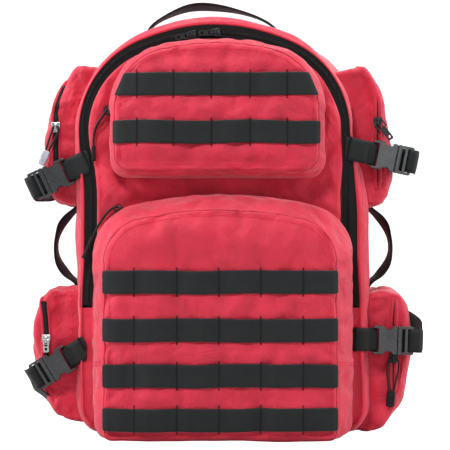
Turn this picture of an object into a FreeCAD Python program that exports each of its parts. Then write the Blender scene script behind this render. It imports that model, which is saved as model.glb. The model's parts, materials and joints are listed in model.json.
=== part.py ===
"""Trauma backpack: a panel-loading rucksack with two front pockets, four side pockets,
four compression straps with side-release buckles, zip closures, a grab handle, two side
handles and two shoulder straps.

Millimetres. +Z is up, -Y is the front with the pockets, +Y is the wearer's side.
The origin is the middle of the base, under the main compartment.
"""
import FreeCAD
import Part
import math
import os

V = FreeCAD.Vector
os.makedirs("parts", exist_ok=True)

# ---- Driving dimensions ----------------------------------------------------------
BODY_HALF_W = 161.0
BODY_H = 456.0
BACK_Y = 80.0            # outside of the back wall
FRONT_Y = -62.0          # plane of the front lip and of the main zip
FABRIC = 3.0             # coated fabric with its lining and foam
SHEET = 1.5              # single layer of fabric
GAP = 0.5                # between the two halves of a zip, and round moving fabric

ZIP_OUTER = 13.0         # the main zip's band, measured inwards from the body's outline
ZIP_MIDDLE = 17.5
ZIP_INNER = 22.5
PANEL_INSET = 23.0
ZIP_END_Z = 137.0        # the main zip stops here on both sides
TAPE = 1.4               # thickness of a zip's tape with its coil

WEBBING_W = 25.0
WEBBING_T = 1.6
ROW_T = 2.0              # load-bearing row with its tacked loops

CORD_D = 2.2


class Outline:
    """An arch in the XZ plane: flat base, straight sides, two shoulders and a crown, all tangent."""

    def __init__(self, half_w, z0, z1, shoulder_r, crown_r, base_r, cx=0.0):
        self.half_w, self.z0, self.z1 = half_w, z0, z1
        self.shoulder_r, self.crown_r, self.base_r, self.cx = shoulder_r, crown_r, base_r, cx
        self.crown_z = z1 - crown_r
        self.shoulder_x = half_w - shoulder_r
        reach = (crown_r - shoulder_r) ** 2 - self.shoulder_x ** 2
        self.shoulder_z = self.crown_z + math.sqrt(reach)

    def wire(self, inset, y):
        w, z0, z1 = self.half_w - inset, self.z0 + inset, self.z1 - inset
        r1, r2 = self.shoulder_r - inset, self.crown_r - inset
        rb = max(self.base_r - inset, 2.0)
        turn = math.atan2(self.shoulder_z - self.crown_z, self.shoulder_x)
        diag = math.sqrt(0.5)

        def p(x, z):
            return V(self.cx + x, y, z)

        def side(s):
            """Base corner, side, shoulder and the shoulder's end, for s = +1 or -1."""
            mid = turn / 2
            return (p(s * (w - rb), z0),
                    p(s * (w - rb + rb * diag), z0 + rb - rb * diag),
                    p(s * w, z0 + rb),
                    p(s * w, self.shoulder_z),
                    p(s * (self.shoulder_x + r1 * math.cos(mid)), self.shoulder_z + r1 * math.sin(mid)),
                    p(s * (r2 * math.cos(turn)), self.crown_z + r2 * math.sin(turn)))

        a, b = side(1), side(-1)
        edges = [Part.makeLine(b[0], a[0]),
                 Part.Arc(a[0], a[1], a[2]).toShape(),
                 Part.makeLine(a[2], a[3]),
                 Part.Arc(a[3], a[4], a[5]).toShape(),
                 Part.Arc(a[5], p(0, z1), b[5]).toShape(),
                 Part.Arc(b[5], b[4], b[3]).toShape(),
                 Part.makeLine(b[3], b[2]),
                 Part.Arc(b[2], b[1], b[0]).toShape()]
        return Part.Wire(edges)


def prism(outline, inset, y0, y1):
    return Part.Face(outline.wire(inset, y0)).extrude(V(0, y1 - y0, 0))


def ring(outline, inset_out, inset_in, y0, y1):
    return prism(outline, inset_out, y0, y1).cut(prism(outline, inset_in, y0 - 1, y1 + 1))


def loft(sections):
    """A solid through wires. sections is a list of (outline, inset, y)."""
    return Part.makeLoft([o.wire(i, y) for o, i, y in sections], True, True)


def block(x0, x1, y0, y1, z0, z1):
    return Part.makeBox(x1 - x0, y1 - y0, z1 - z0, V(x0, y0, z0))


def above(shape, z):
    return shape.common(block(-400, 400, -400, 400, z, 900))


def below(shape, z):
    return shape.common(block(-400, 400, -400, 400, -100, z))


def frame(origin, x_dir, z_dir):
    """The placement that carries local x and z onto those directions, at origin."""
    x, z = V(x_dir).normalize(), V(z_dir).normalize()
    y = z.cross(x)
    m = FreeCAD.Matrix(x.x, y.x, z.x, origin.x, x.y, y.y, z.y, origin.y,
                       x.z, y.z, z.z, origin.z, 0, 0, 0, 1)
    return m


def rounded_block(x0, x1, y0, y1, z0, z1, r_corner, r_edge=0.0):
    """A block with its upright edges rounded, and its top and bottom rims if r_edge is given."""
    body = block(x0, x1, y0, y1, z0, z1)
    upright = [e for e in body.Edges if abs(e.Vertexes[0].Z - e.Vertexes[1].Z) > 1e-6]
    body = body.makeFillet(r_corner, upright)
    if r_edge:
        rims = [e for e in body.Edges if abs(e.BoundBox.ZMax - e.BoundBox.ZMin) < 1e-6]
        body = body.makeFillet(r_edge, rims)
    return body


def bent_path(points, share=0.45):
    """Straight runs through points joined by tangent arcs, each as large as its two runs allow."""
    edges, here = [], points[0]
    for a, b, c in zip(points[:-2], points[1:-1], points[2:]):
        into, out = (b - a), (c - b)
        half = into.getAngle(out) / 2
        back = share * min(into.Length, out.Length)
        start = b - V(into).normalize() * back
        end = b + V(out).normalize() * back
        inward = (V(out).normalize() - V(into).normalize()).normalize()
        radius = back / math.tan(half)
        middle = b + inward * (radius / math.cos(half) - radius)
        edges.append(Part.makeLine(here, start))
        edges.append(Part.Arc(start, middle, end).toShape())
        here = end
    edges.append(Part.makeLine(here, points[-1]))
    return Part.Wire(edges)


def tube(points, diameter):
    """A cord's solid along its route."""
    path = bent_path(points)
    along = points[1] - points[0]
    section = Part.Wire([Part.makeCircle(diameter / 2, points[0], along)])
    solid = path.makePipeShell([section], True, True)
    area = math.pi * diameter ** 2 / 4
    radii = []
    for edge in path.Edges:
        if hasattr(edge.Curve, "Radius"):
            radii.append(round(edge.Curve.Radius, 1))
    print("cord", round(path.Length, 1), "mm long, radii", radii,
          "volume share", round(solid.Volume / (area * path.Length), 4))
    return solid


def strip(points, thickness, low, high):
    """A band: the route in local XZ, given as (x, z), with a thickness, from y = low to y = high.
    Its corners are arcs, and both faces are parallel."""
    route = [V(x, low, z) for x, z in points]
    wire = bent_path(route, 0.42)
    half = thickness / 2
    sides = [[], []]
    for edge in wire.Edges:
        first, last = edge.firstVertex().Point, edge.lastVertex().Point
        start, end = edge.FirstParameter, edge.LastParameter
        samples = [start, (start + end) / 2, end]
        for number, sign in enumerate((1, -1)):
            moved = []
            for t in samples:
                along = edge.tangentAt(t)
                moved.append(edge.valueAt(t) + V(along.z, 0, -along.x) * (sign * half))
            if isinstance(edge.Curve, Part.Line):
                sides[number].append(Part.makeLine(moved[0], moved[2]))
            else:
                sides[number].append(Part.Arc(*moved).toShape())
    def end_of(edges, last):
        return edges[-1].lastVertex().Point if last else edges[0].firstVertex().Point
    caps = [Part.makeLine(end_of(sides[0], False), end_of(sides[1], False)),
            Part.makeLine(end_of(sides[0], True), end_of(sides[1], True))]
    outline = Part.Wire(Part.__sortEdges__(sides[0] + sides[1] + caps))
    return Part.Face(outline).extrude(V(0, high - low, 0))


def export(name, shape):
    if not shape.isValid() or shape.Volume <= 0:
        print("PROBLEM with", name, shape.isValid(), shape.Volume)
    shape.exportStep("parts/%s.step" % name)


def export_group(name, shapes):
    export(name, Part.makeCompound(shapes))


# ---- Main compartment --------------------------------------------------------------
BODY = Outline(BODY_HALF_W, 0.0, BODY_H, shoulder_r=115.0, crown_r=230.0, base_r=28.0)
BACK_ROUND = 8.0
LIP_DEPTH = 2.5


def main_shell():
    """Fabric shell, open at the front inside the zip, with a sewn lip below the zip's ends."""
    outside = loft([(BODY, BACK_ROUND, BACK_Y), (BODY, 0, BACK_Y - BACK_ROUND), (BODY, 0, FRONT_Y + 18),
                    (BODY, 5, FRONT_Y + 6), (BODY, ZIP_OUTER, FRONT_Y)])
    inside = loft([(BODY, BACK_ROUND + 1, BACK_Y - FABRIC), (BODY, FABRIC, BACK_Y - BACK_ROUND - 1),
                   (BODY, FABRIC, FRONT_Y + 19), (BODY, 5 + FABRIC, FRONT_Y + 7.5),
                   (BODY, ZIP_OUTER + 2, FRONT_Y + LIP_DEPTH)])
    mouth = prism(BODY, ZIP_OUTER, FRONT_Y - 1, FRONT_Y + LIP_DEPTH + 3)
    lip = below(ring(BODY, ZIP_OUTER - 1, ZIP_MIDDLE - GAP / 2, FRONT_Y, FRONT_Y + LIP_DEPTH), ZIP_END_Z)
    return outside.cut(inside).cut(mouth).fuse(lip).removeSplitter()


PANEL_FACE_Y = FRONT_Y - 2.0
PANEL_BACK_Y = FRONT_Y + 2.0


def front_panel():
    """The opening front: a padded sheet whose lower edge carries on past the zip's ends."""
    sheet = prism(BODY, PANEL_INSET, PANEL_FACE_Y, PANEL_BACK_Y)
    edge = ring(BODY, ZIP_MIDDLE + GAP / 2, PANEL_INSET + 1, FRONT_Y, FRONT_Y + TAPE)
    return sheet.fuse(below(edge, ZIP_END_Z)).removeSplitter()


def main_zip(inset_out, inset_in):
    return above(ring(BODY, inset_out, inset_in, FRONT_Y, FRONT_Y + TAPE), ZIP_END_Z + GAP)


export("main_shell", main_shell())
export("main_zip_tape_rear", main_zip(ZIP_OUTER, ZIP_MIDDLE - GAP / 2))
export("front_panel", front_panel())
export("main_zip_tape_front", main_zip(ZIP_MIDDLE + GAP / 2, ZIP_INNER))


# ---- Back: foam inside, mesh pads outside --------------------------------------------
BACK_PAD_T = 12.0
BACK_INSIDE_Y = BACK_Y - FABRIC


def back_pads():
    """Two long spacer-mesh pads beside a central air channel, and a lumbar pad below them."""
    y0, y1 = BACK_Y, BACK_Y + BACK_PAD_T
    pads = []
    for x0, x1, z0, z1 in ((-112, -9, 128, 408), (9, 112, 128, 408), (-96, 96, 34, 112)):
        slab = block(x0, x1, y0, y1, z0, z1)
        far = [e for e in slab.Edges if e.BoundBox.YMin > y1 - 0.1 or
               e.BoundBox.YMax - e.BoundBox.YMin > 1]
        pads.append(slab.makeChamfer(5.0, far))
    return pads


def rounded_sheet(x0, x1, y0, y1, z0, z1, r):
    slab = block(x0, x1, y0, y1, z0, z1)
    return slab.makeFillet(r, [e for e in slab.Edges if e.BoundBox.YMax - e.BoundBox.YMin > 0.5])


export_group("back_panel", back_pads())
export("back_foam", rounded_sheet(-118, 118, BACK_INSIDE_Y - 8.3, BACK_INSIDE_Y - 0.3, 14, 398, 20))
export("hydration_sleeve",
       rounded_sheet(-110, 110, BACK_INSIDE_Y - 11.2, BACK_INSIDE_Y - 9.7, 16, 330, 18))


# ---- Front pockets: a shallow base, a zip round three sides, and a lid hinged below ----
class FrontPocket:
    def __init__(self, root, face, base_depth, lid_depth, zip_low_z):
        self.root, self.face, self.zip_low_z = root, face, zip_low_z
        self.base_y = PANEL_FACE_Y - base_depth
        self.lid_y = self.base_y - ZIP_BAND - GAP
        self.face_y = self.lid_y - lid_depth

    def base(self):
        back = prism(self.root, 0, PANEL_FACE_Y - SHEET, PANEL_FACE_Y)
        return back.fuse(ring(self.root, 0, 2.5, self.base_y, PANEL_FACE_Y - SHEET + 0.5)).removeSplitter()

    def zip(self):
        return above(ring(self.root, 0, SHEET, self.base_y - ZIP_BAND, self.base_y), self.zip_low_z)

    def lid(self):
        near = self.face_y + 9.0
        outside = loft([(self.root, 0, self.lid_y), (self.face, -2.5, near), (self.face, 6, self.face_y)])
        inside = loft([(self.root, 2.5, self.lid_y + 0.01), (self.face, 0, near + 1),
                       (self.face, 8, self.face_y + 2.5)])
        mouth = prism(self.root, 2.5, self.lid_y - 1, self.lid_y + 1)
        return outside.cut(inside).cut(mouth)


ZIP_BAND = 4.0
LOWER = FrontPocket(root=Outline(140.0, 2.0, 262.0, 55.0, 420.0, 14.0),
                    face=Outline(122.0, 5.0, 245.0, 48.0, 380.0, 14.0),
                    base_depth=6.0, lid_depth=47.5, zip_low_z=24.0)
UPPER = FrontPocket(root=Outline(116.0, 280.0, 430.0, 72.0, 290.0, 18.0, cx=-6.0),
                    face=Outline(109.0, 287.0, 423.0, 66.0, 280.0, 18.0, cx=-7.0),
                    base_depth=5.0, lid_depth=30.0, zip_low_z=300.0)

export("lower_pocket_base", LOWER.base())
export("lower_pocket_lid", LOWER.lid())
export("upper_pocket_base", UPPER.base())
export("upper_pocket_lid", UPPER.lid())
export_group("front_pocket_zips", [LOWER.zip(), UPPER.zip()])

# Load-bearing webbing: rows one webbing apart, tacked at even columns.
LOWER_ROW_Z = (169.0, 118.5, 70.5, 24.5)
UPPER_ROW_Z = (379.0, 328.0)


def webbing_rows(pocket, heights, half_lengths):
    rows = []
    for z, half in zip(heights, half_lengths):
        y1 = pocket.face_y
        rows.append(block(pocket.face.cx - half, pocket.face.cx + half, y1 - ROW_T, y1,
                          z - WEBBING_W / 2, z + WEBBING_W / 2))
    return rows


export_group("lower_pocket_webbing", webbing_rows(LOWER, LOWER_ROW_Z, (115.0,) * 4))
export_group("upper_pocket_webbing", webbing_rows(UPPER, UPPER_ROW_Z, (92.0, 102.0)))


# ---- Side pockets --------------------------------------------------------------------
SIDE_Y0, SIDE_Y1 = -44.0, 52.0
SIDE_ROUND = 7.0
SIDE_TAPE_Y = SIDE_Y0 - 1.3


class SidePocket:
    """side is -1 for the left and +1 for the right. profile is (distance out from the body's
    side, z) round the pocket's outer edge, from its lower root to its upper root."""

    def __init__(self, side, profile, zip_x, zip_z0, zip_z1):
        self.side, self.profile = side, profile
        self.zip_x, self.zip_z0, self.zip_z1 = zip_x, zip_z0, zip_z1

    def section(self, y, inset):
        z_mid = (self.profile[0][1] + self.profile[-1][1]) / 2
        points = []
        for out, z in self.profile:
            x = BODY_HALF_W + max(out - inset, -40.0 if out < 0 else 1.0)
            squeeze = inset * 0.7 * (-1 if z > z_mid else 1)
            points.append(V(self.side * x, y, z + squeeze))
        inner = BODY_HALF_W - 60.0
        points = [V(self.side * inner, y, points[0].z)] + points + [V(self.side * inner, y, points[-1].z)]
        return Part.makePolygon(points + [points[0]])

    def bag(self, wall):
        ends = [(SIDE_Y0 + wall, SIDE_ROUND + wall), (SIDE_Y0 + SIDE_ROUND, wall),
                (SIDE_Y1 - SIDE_ROUND, wall), (SIDE_Y1 - wall, SIDE_ROUND + wall)]
        return Part.makeLoft([self.section(y, inset) for y, inset in ends], True, True)

    def solid(self):
        """A closed bag. Its hollow is sealed by its zip."""
        outside = self.bag(0.0).cut(prism(BODY, -0.1, SIDE_Y0 - 5, SIDE_Y1 + 5))
        hollow = self.bag(2.5).cut(prism(BODY, -2.5, SIDE_Y0 - 5, SIDE_Y1 + 5))
        return outside.cut(hollow)

    def zip(self):
        half = 4.0
        return block(self.side * self.zip_x - half, self.side * self.zip_x + half,
                     SIDE_TAPE_Y, SIDE_Y0 - 0.05, self.zip_z0, self.zip_z1)


SIDE_POCKETS = {
    "upper_left": SidePocket(-1, [(-2, 253), (18, 252), (31, 270), (35, 300), (35, 332), (20, 372), (9, 402),
                                  (-24, 402)], 184.0, 268.0, 350.0),
    "upper_right": SidePocket(1, [(-2, 250), (12, 251), (21, 268), (25, 296), (24, 334), (14, 372), (3, 402),
                                  (-24, 402)], 170.0, 262.0, 366.0),
    "lower_left": SidePocket(-1, [(-2, 11), (20, 20), (40, 56), (45, 92), (45, 120), (36, 147), (28, 157),
                                  (-2, 158)], 194.5, 62.0, 142.0),
    "lower_right": SidePocket(1, [(-2, 6), (14, 17), (31, 36), (40, 66), (40, 114), (35, 142), (29, 153),
                                  (-2, 154)], 187.0, 46.0, 142.0),
}
for key, pocket in SIDE_POCKETS.items():
    export("side_pocket_" + key, pocket.solid())
export_group("side_pocket_zips", [pocket.zip() for pocket in SIDE_POCKETS.values()])


# ---- Zip sliders and their pulls -------------------------------------------------------
# Local frame: x across the zip, y up along it, z out of the tape's face.
SLIDER_LIFT = 0.3        # above the tape
PLATE_TOP = 2.4
AXIS_UP = 4.1            # the pull turns here, under the bail
BAIL_IN = 5.7
BAIL_OUT = 6.9


def slider():
    """Tapered plate with rounded flanks, and an arched bail for the pull."""
    outline = [V(-4.6, 5.6, SLIDER_LIFT), V(4.6, 5.6, SLIDER_LIFT), V(4.9, 1.5, SLIDER_LIFT),
               V(3.4, -5.8, SLIDER_LIFT), V(-3.4, -5.8, SLIDER_LIFT), V(-4.9, 1.5, SLIDER_LIFT)]
    plate = Part.Face(Part.makePolygon(outline + [outline[0]])).extrude(V(0, 0, PLATE_TOP - SLIDER_LIFT))
    plate = plate.makeFillet(0.8, plate.Edges)
    arch = block(-1.0, 1.0, -4.6, 4.6, PLATE_TOP - 0.6, BAIL_OUT)
    arch = arch.makeFillet(2.2, [e for e in arch.Edges
                                 if e.BoundBox.ZMin > BAIL_OUT - 0.1 and e.BoundBox.XMax - e.BoundBox.XMin > 1])
    hole = block(-2, 2, -3.3, 3.3, PLATE_TOP, BAIL_IN)
    hole = hole.makeFillet(1.2, [e for e in hole.Edges
                                 if e.BoundBox.ZMin > BAIL_IN - 0.1 and e.BoundBox.XMax - e.BoundBox.XMin > 1])
    return plate.fuse(arch.cut(hole)).removeSplitter()


TAB_ARM_X = 2.45
LOOSE_ARM_X = 4.8        # wide enough for the tab to lean 38 degrees without touching the bail


def tab(length, arm_x=TAB_ARM_X):
    """Metal pull: a bar under the bail, two arms, and a grip with an eye."""
    low, high = AXIS_UP - 0.75, AXIS_UP + 0.75
    half = arm_x + 0.75
    bar = Part.makeCylinder(0.75, 2 * half, V(-half, 0, AXIS_UP), V(1, 0, 0))
    arms = [block(s * arm_x - 0.75, s * arm_x + 0.75, -7.5, 0, low, high) for s in (1, -1)]
    yoke = block(-half, half, -8.6, -7.0, low, high)
    grip = rounded_block(-3.2, 3.2, -length, -7.0, low, high, 1.6)
    eye = rounded_block(-1.4, 1.4, -length + 2.2, -length + 5.4, low - 1, high + 1, 1.3)
    return bar.fuse(arms + [yoke]).fuse(grip.cut(eye)).removeSplitter()


def toggle(length, width, thick):
    """Moulded rubber end on a cord: mouth at the origin, body towards -y, centred on z = 0."""
    body = rounded_block(-width / 2, width / 2, -length, 0, -thick / 2, thick / 2, width * 0.3, thick * 0.28)
    for n in range(3):
        y = -length * (0.4 + 0.17 * n)
        for s in (1, -1):
            groove = Part.makeCylinder(0.8, width + 2, V(-width / 2 - 1, y, s * (thick / 2 + 0.25)), V(1, 0, 0))
            body = body.cut(groove)
    return body


class Zip:
    """Where a slider sits: origin on the tape's face, the way up along the zip, and the way out."""

    def __init__(self, name, origin, up, out):
        self.name, self.origin, self.up, self.out = name, origin, V(up).normalize(), V(out).normalize()
        self.matrix = frame(origin, self.up.cross(self.out), self.out)

    def slider(self):
        return slider().transformed(self.matrix)

    def tab(self, length, turn_deg=0.0, arm_x=TAB_ARM_X):
        """The tab, leaning from the zip's own line by turn_deg within the tape's plane."""
        lean = FreeCAD.Matrix()
        lean.rotateZ(math.radians(turn_deg))
        return tab(length, arm_x).transformed(self.matrix.multiply(lean))

    def at(self, x, y, z=AXIS_UP):
        return self.matrix.multVec(V(x, y, z))


# Half of a doubled cord's shape: (share of the half width, share of the drop), from the toggle to the bail.
LOOP_SHAPE = [(0.46, 1.0), (0.62, 0.76), (0.9, 0.52), (1.0, 0.30), (0.96, 0.12)]
BAIL_TURNS = [(-2.7, 0.6, AXIS_UP), (2.7, 0.6, AXIS_UP)]


def slack_loop(drop, half_w, lean=0.0):
    """Control points (x, y, z) in a slider's frame of a doubled cord that hangs flat on the fabric."""
    left = [(-half_w * a, -drop * d, AXIS_UP) for a, d in LOOP_SHAPE]
    right = [(-x, y, z) for x, y, z in reversed(left)]
    return [(x + lean * min(y + 4, 0), y, z) for x, y, z in left + BAIL_TURNS + right]


def standing_loop(half_w, centre_line):
    """The same for a cord that curves away from the zip: centre_line gives (y, z) for each share of its
    drop, from the toggle to the bail."""
    left = [(-half_w * share[0], y, z) for share, (y, z) in zip(LOOP_SHAPE, centre_line)]
    return left + BAIL_TURNS + [(-x, y, z) for x, y, z in reversed(left)]


MAIN_TAPE_Y = FRONT_Y


def on_crown(angle_deg):
    """A point in the middle of the main zip, by its angle from the top of the crown."""
    r, a = BODY.crown_r - ZIP_MIDDLE, math.radians(angle_deg)
    return V(r * math.sin(a), MAIN_TAPE_Y, BODY.crown_z + r * math.cos(a)), V(math.cos(a), 0, -math.sin(a))


MAIN_SLIDER_DEG = {"left": -9.4, "right": -2.4}     # far enough apart for the right tab to swing
MAIN_TAB_L = 18.0
for key, angle in MAIN_SLIDER_DEG.items():
    where, along = on_crown(angle)
    rider = Zip("main_" + key, where, along, V(0, -1, 0))
    export("main_slider_" + key, rider.slider())
    export("main_pull_tab_" + key, rider.tab(MAIN_TAB_L))
    print("main slider", key, where, "axis at", rider.at(0, 0), "hinge", rider.up.cross(rider.out))


def cord_pull(key, rider, loop, toggle_size):
    """A doubled cord from the bail with a moulded toggle that closes it."""
    length, width, thick = toggle_size
    points = [rider.at(*point) for point in loop]
    ends = (points[0] + points[-1]) * 0.5
    down = (ends - (points[1] + points[-2]) * 0.5).normalize()
    across = (points[0] - points[-1]).normalize()
    face = across.cross(down)
    grip = toggle(length, width, thick).transformed(frame(ends, down.cross(face) * -1, face))
    export(key + "_pull_cord", tube(points, CORD_D))
    export(key + "_toggle", grip)
    print(key, "route", [(round(p.x, 2), round(p.y, 2), round(p.z, 2)) for p in points])
    print(key, "axis at", rider.at(0, 0), "toggle end", ends + down * length)


# Side pockets: the zips face the front, so the sliders stand out towards -Y.
SIDE_SLIDER_Z = {"upper_left": 336.5, "upper_right": 342.0, "lower_left": 103.0, "lower_right": 83.0}
RIDERS = {}
for key, pocket in SIDE_POCKETS.items():
    start = V(pocket.side * pocket.zip_x, SIDE_TAPE_Y, SIDE_SLIDER_Z[key])
    RIDERS[key] = Zip(key, start, V(0, 0, 1), V(0, -1, 0))
    export("side_slider_" + key, RIDERS[key].slider())
cord_pull("upper_left", RIDERS["upper_left"], slack_loop(26.0, 3.6, lean=0.42), (17.0, 8.0, 4.6))
cord_pull("lower_right", RIDERS["lower_right"], slack_loop(36.0, 6.2, lean=0.08), (18.0, 9.0, 4.6))
export("upper_right_pull_tab", RIDERS["upper_right"].tab(24.0, 38.0, LOOSE_ARM_X))
export("lower_left_pull_tab", RIDERS["lower_left"].tab(14.0))

# Front pockets: the zips face sideways at the root of each gusset.
upper_zip_y = UPPER.base_y - ZIP_BAND / 2
UPPER_RIDER = Zip("upper_pocket", V(UPPER.root.cx - UPPER.root.half_w, upper_zip_y, 353.0),
                  V(0, 0, 1), V(-1, 0, 0))
export("upper_pocket_slider", UPPER_RIDER.slider())
cord_pull("upper_pocket", UPPER_RIDER,
          standing_loop(2.8, [(-38.0, 18.5), (-28.5, 18.6), (-19.5, 16.6), (-11.5, 12.4), (-4.5, 7.0)]),
          (17.0, 7.0, 4.2))

LOWER_SLIDER_DEG = 120.0
lower_zip_y = LOWER.base_y - ZIP_BAND / 2
angle = math.radians(LOWER_SLIDER_DEG)
out = V(math.cos(angle), 0, math.sin(angle))
centre = V(-LOWER.root.shoulder_x, lower_zip_y, LOWER.root.shoulder_z)
LOWER_RIDER = Zip("lower_pocket", centre + out * LOWER.root.shoulder_r, V(-out.z, 0, out.x) * -1, out)
export("lower_pocket_slider", LOWER_RIDER.slider())
cord_pull("lower_pocket", LOWER_RIDER,
          standing_loop(2.8, [(-38.5, -10.0), (-30.5, -4.2), (-22.0, 0.4), (-13.5, 4.2), (-5.5, 6.4)]),
          (26.0, 7.0, 4.2))


# ---- Side-release buckles and compression straps ------------------------------------------
# A buckle's frame: x outwards along the strap from the socket's near edge, y across the strap,
# z towards the front.
SOCKET_L = 27.0
SOCKET_HALF_W = 15.5
SOCKET_HALF_T = 5.0
BAR_L = 3.2
SLOT_L = 3.4
CAVITY_X0 = 9.0
CAVITY_HALF_W = 12.6
CAVITY_HALF_T = 3.2
PLAY = 0.35
NOTCH_X, NOTCH_R = 17.0, 5.2
LADDER_X0 = 31.0
LADDER_END = 45.0
SLOT_HALF_W = 13.0


def socket():
    body = rounded_block(0, SOCKET_L, -SOCKET_HALF_W, SOCKET_HALF_W, -SOCKET_HALF_T, SOCKET_HALF_T, 2.5, 1.3)
    cavity = block(CAVITY_X0, SOCKET_L + 1, -CAVITY_HALF_W, CAVITY_HALF_W, -CAVITY_HALF_T, CAVITY_HALF_T)
    slot = block(BAR_L, BAR_L + SLOT_L, -SLOT_HALF_W, SLOT_HALF_W, -9, 9)
    recess = block(-1, BAR_L + 1, -SLOT_HALF_W, SLOT_HALF_W, 1.3, 9)
    body = body.cut(cavity).cut(slot).cut(recess).cut(recess.mirror(V(0, 0, 0), V(0, 0, 1)))
    for s in (1, -1):
        body = body.cut(Part.makeCylinder(NOTCH_R, 20, V(NOTCH_X, s * (SOCKET_HALF_W + 0.8), -10)))
    return body


def plug():
    """Shoulder, centre tongue, two sprung prongs and the ladder that the webbing runs through."""
    shoulder = rounded_block(SOCKET_L + PLAY, LADDER_X0 + 0.5, -SOCKET_HALF_W, SOCKET_HALF_W, -4.7, 4.7,
                             1.2, 0.8)
    shapes = [block(CAVITY_X0 + 2, SOCKET_L + 1.5, -2.6, 2.6, -1.3, 1.3)]
    edge = CAVITY_HALF_W - PLAY
    for s in (1, -1):
        outline = [V(SOCKET_L + 1.5, s * (edge - 5.0), 0), V(SOCKET_L + 1.5, s * (edge - 1.2), 0),
                   V(NOTCH_X + 4.5, s * (edge - 0.8), 0), V(NOTCH_X + 1.5, s * edge, 0),
                   V(NOTCH_X - 2.5, s * edge, 0), V(CAVITY_X0 + 1.2, s * (edge - 3.6), 0),
                   V(CAVITY_X0 + 1.2, s * (edge - 5.4), 0), V(NOTCH_X - 1.0, s * (edge - 4.4), 0)]
        prong = Part.Face(Part.makePolygon(outline + [outline[0]])).extrude(V(0, 0, 5.6))
        prong.translate(V(0, 0, -2.8))
        shapes.append(prong)
    ladder = rounded_block(LADDER_X0, LADDER_END, -SOCKET_HALF_W, SOCKET_HALF_W, -2.6, 2.6, 2.0, 0.9)
    for x0, x1 in ((32.2, 35.4), (38.4, 42.0)):
        ladder = ladder.cut(block(x0, x1, -SLOT_HALF_W, SLOT_HALF_W, -6, 6))
    return shoulder.fuse(shapes + [ladder]).removeSplitter()


STRAP_Y = -57.8          # middle plane of the buckles
SEAM_X = 144.3           # no webbing of the pack's side comes further in than this, so the panel can open
CUT_Y = -40.0            # where the strap's moving and fixed parts meet, behind the buckle
STUB_LIFT = 5.25         # the stub lies on the body's rim, this far in front of the buckles' plane
OVER_BAR = 3.6           # the webbing's middle where it lies over the ladder's last bar


class Strap:
    """It leaves the seam beside the main zip at (x, z), slopes down outwards by fall_deg, and carries
    its buckle after lead. route gives (x, y) points of the webbing round the pocket to the back."""

    def __init__(self, name, side, x, z, fall_deg, lead, route):
        a = math.radians(fall_deg)
        self.name, self.side, self.lead = name, side, lead
        self.along = V(side * math.cos(a), 0, -math.sin(a))
        start = V(side * x, STRAP_Y, z)
        self.matrix = frame(start + self.along * lead, self.along, V(0, -1, 0))
        self.route = [((px - x) / math.cos(a) - lead, STRAP_Y - py) for px, py in route]

    def to_body(self, shape):
        return shape.transformed(self.matrix)

    def stub(self):
        """Webbing sewn in beside the main zip, over the rim and doubled round the socket's bar."""
        half = WEBBING_W / 2
        middle = BAR_L + SLOT_L / 2
        route = [(-self.lead - 8, STUB_LIFT), (-self.lead + 7, STUB_LIFT), (-4.5, 2.3), (middle, 2.3),
                 (middle, -2.3), (-3.5, -2.3)]
        seam = block(SEAM_X, 400, -400, 400, -400, 900)
        if self.side < 0:
            seam = seam.mirror(V(0, 0, 0), V(1, 0, 0))
        return self.to_body(strip(route, WEBBING_T, -half, half)).common(seam)

    def moving_webbing(self):
        """Webbing from the ladder, round the outer corner, to the cut beside the pocket's face."""
        half = WEBBING_W / 2 - 0.3
        turn = self.route[0][0]
        slot = 40.2
        route = [(slot, -2.4), (slot, OVER_BAR), (turn, OVER_BAR), (turn, STRAP_Y - CUT_Y)]
        return self.to_body(strip(route, WEBBING_T, -half, half))

    def rear_webbing(self):
        half = WEBBING_W / 2
        start = (self.route[0][0], STRAP_Y - CUT_Y - GAP)
        return self.to_body(strip([start] + self.route[1:], WEBBING_T, -half, half))


STRAPS = [Strap("upper_left", -1, 145.6, 299.0, 25.0, 24.0, [(211, -40), (204, 0), (202, 46), (165, 74)]),
          Strap("upper_right", 1, 144.5, 310.5, 11.6, 18.0, [(212, -40), (198, 0), (192, 46), (165, 74)]),
          Strap("lower_left", -1, 148.0, 97.0, 31.0, 22.0, [(210, -40), (213, 0), (214, 46), (170, 74)]),
          Strap("lower_right", 1, 145.0, 104.5, 2.0, 18.0, [(213, -40), (209, 0), (207, 46), (165, 74)])]
for strap in STRAPS:
    export("buckle_plug_" + strap.name, strap.to_body(plug()))
    export("strap_webbing_" + strap.name, strap.moving_webbing())
    print("strap", strap.name, "slides along", strap.along)
export_group("buckle_sockets", [strap.to_body(socket()) for strap in STRAPS])
export_group("strap_stubs", [strap.stub() for strap in STRAPS])
export_group("strap_webbing_rear", [strap.rear_webbing() for strap in STRAPS])


# ---- Handles ---------------------------------------------------------------------------------
HANDLE_T = 3.2
GRAB_Y = BACK_Y - 1.0    # rear edge of the grab handle, which stands on the crown
GRAB_ROUTE = [(-95.0, 441.0), (-84.0, 463.0), (-36.0, 485.0), (-6.0, 484.5), (50.0, 468.0), (72.0, 449.5)]
export("grab_handle", strip(GRAB_ROUTE, HANDLE_T, GRAB_Y - WEBBING_W, GRAB_Y))

SIDE_HANDLE_W = 18.0
SIDE_HANDLE_Y = 8.0
SIDE_HANDLE_OFF = 6.5    # the swinging part starts this far out from the body's side
SIDE_ROUTE = [(0.0, 246.0), (14.0, 236.0), (22.0, 212.0), (21.0, 190.0), (8.0, 169.0), (0.0, 163.5)]


def side_handle(side):
    route = [(side * (BODY_HALF_W + SIDE_HANDLE_OFF + out), z) for out, z in SIDE_ROUTE]
    return strip(route, 2.4, SIDE_HANDLE_Y - SIDE_HANDLE_W / 2, SIDE_HANDLE_Y + SIDE_HANDLE_W / 2)


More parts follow.
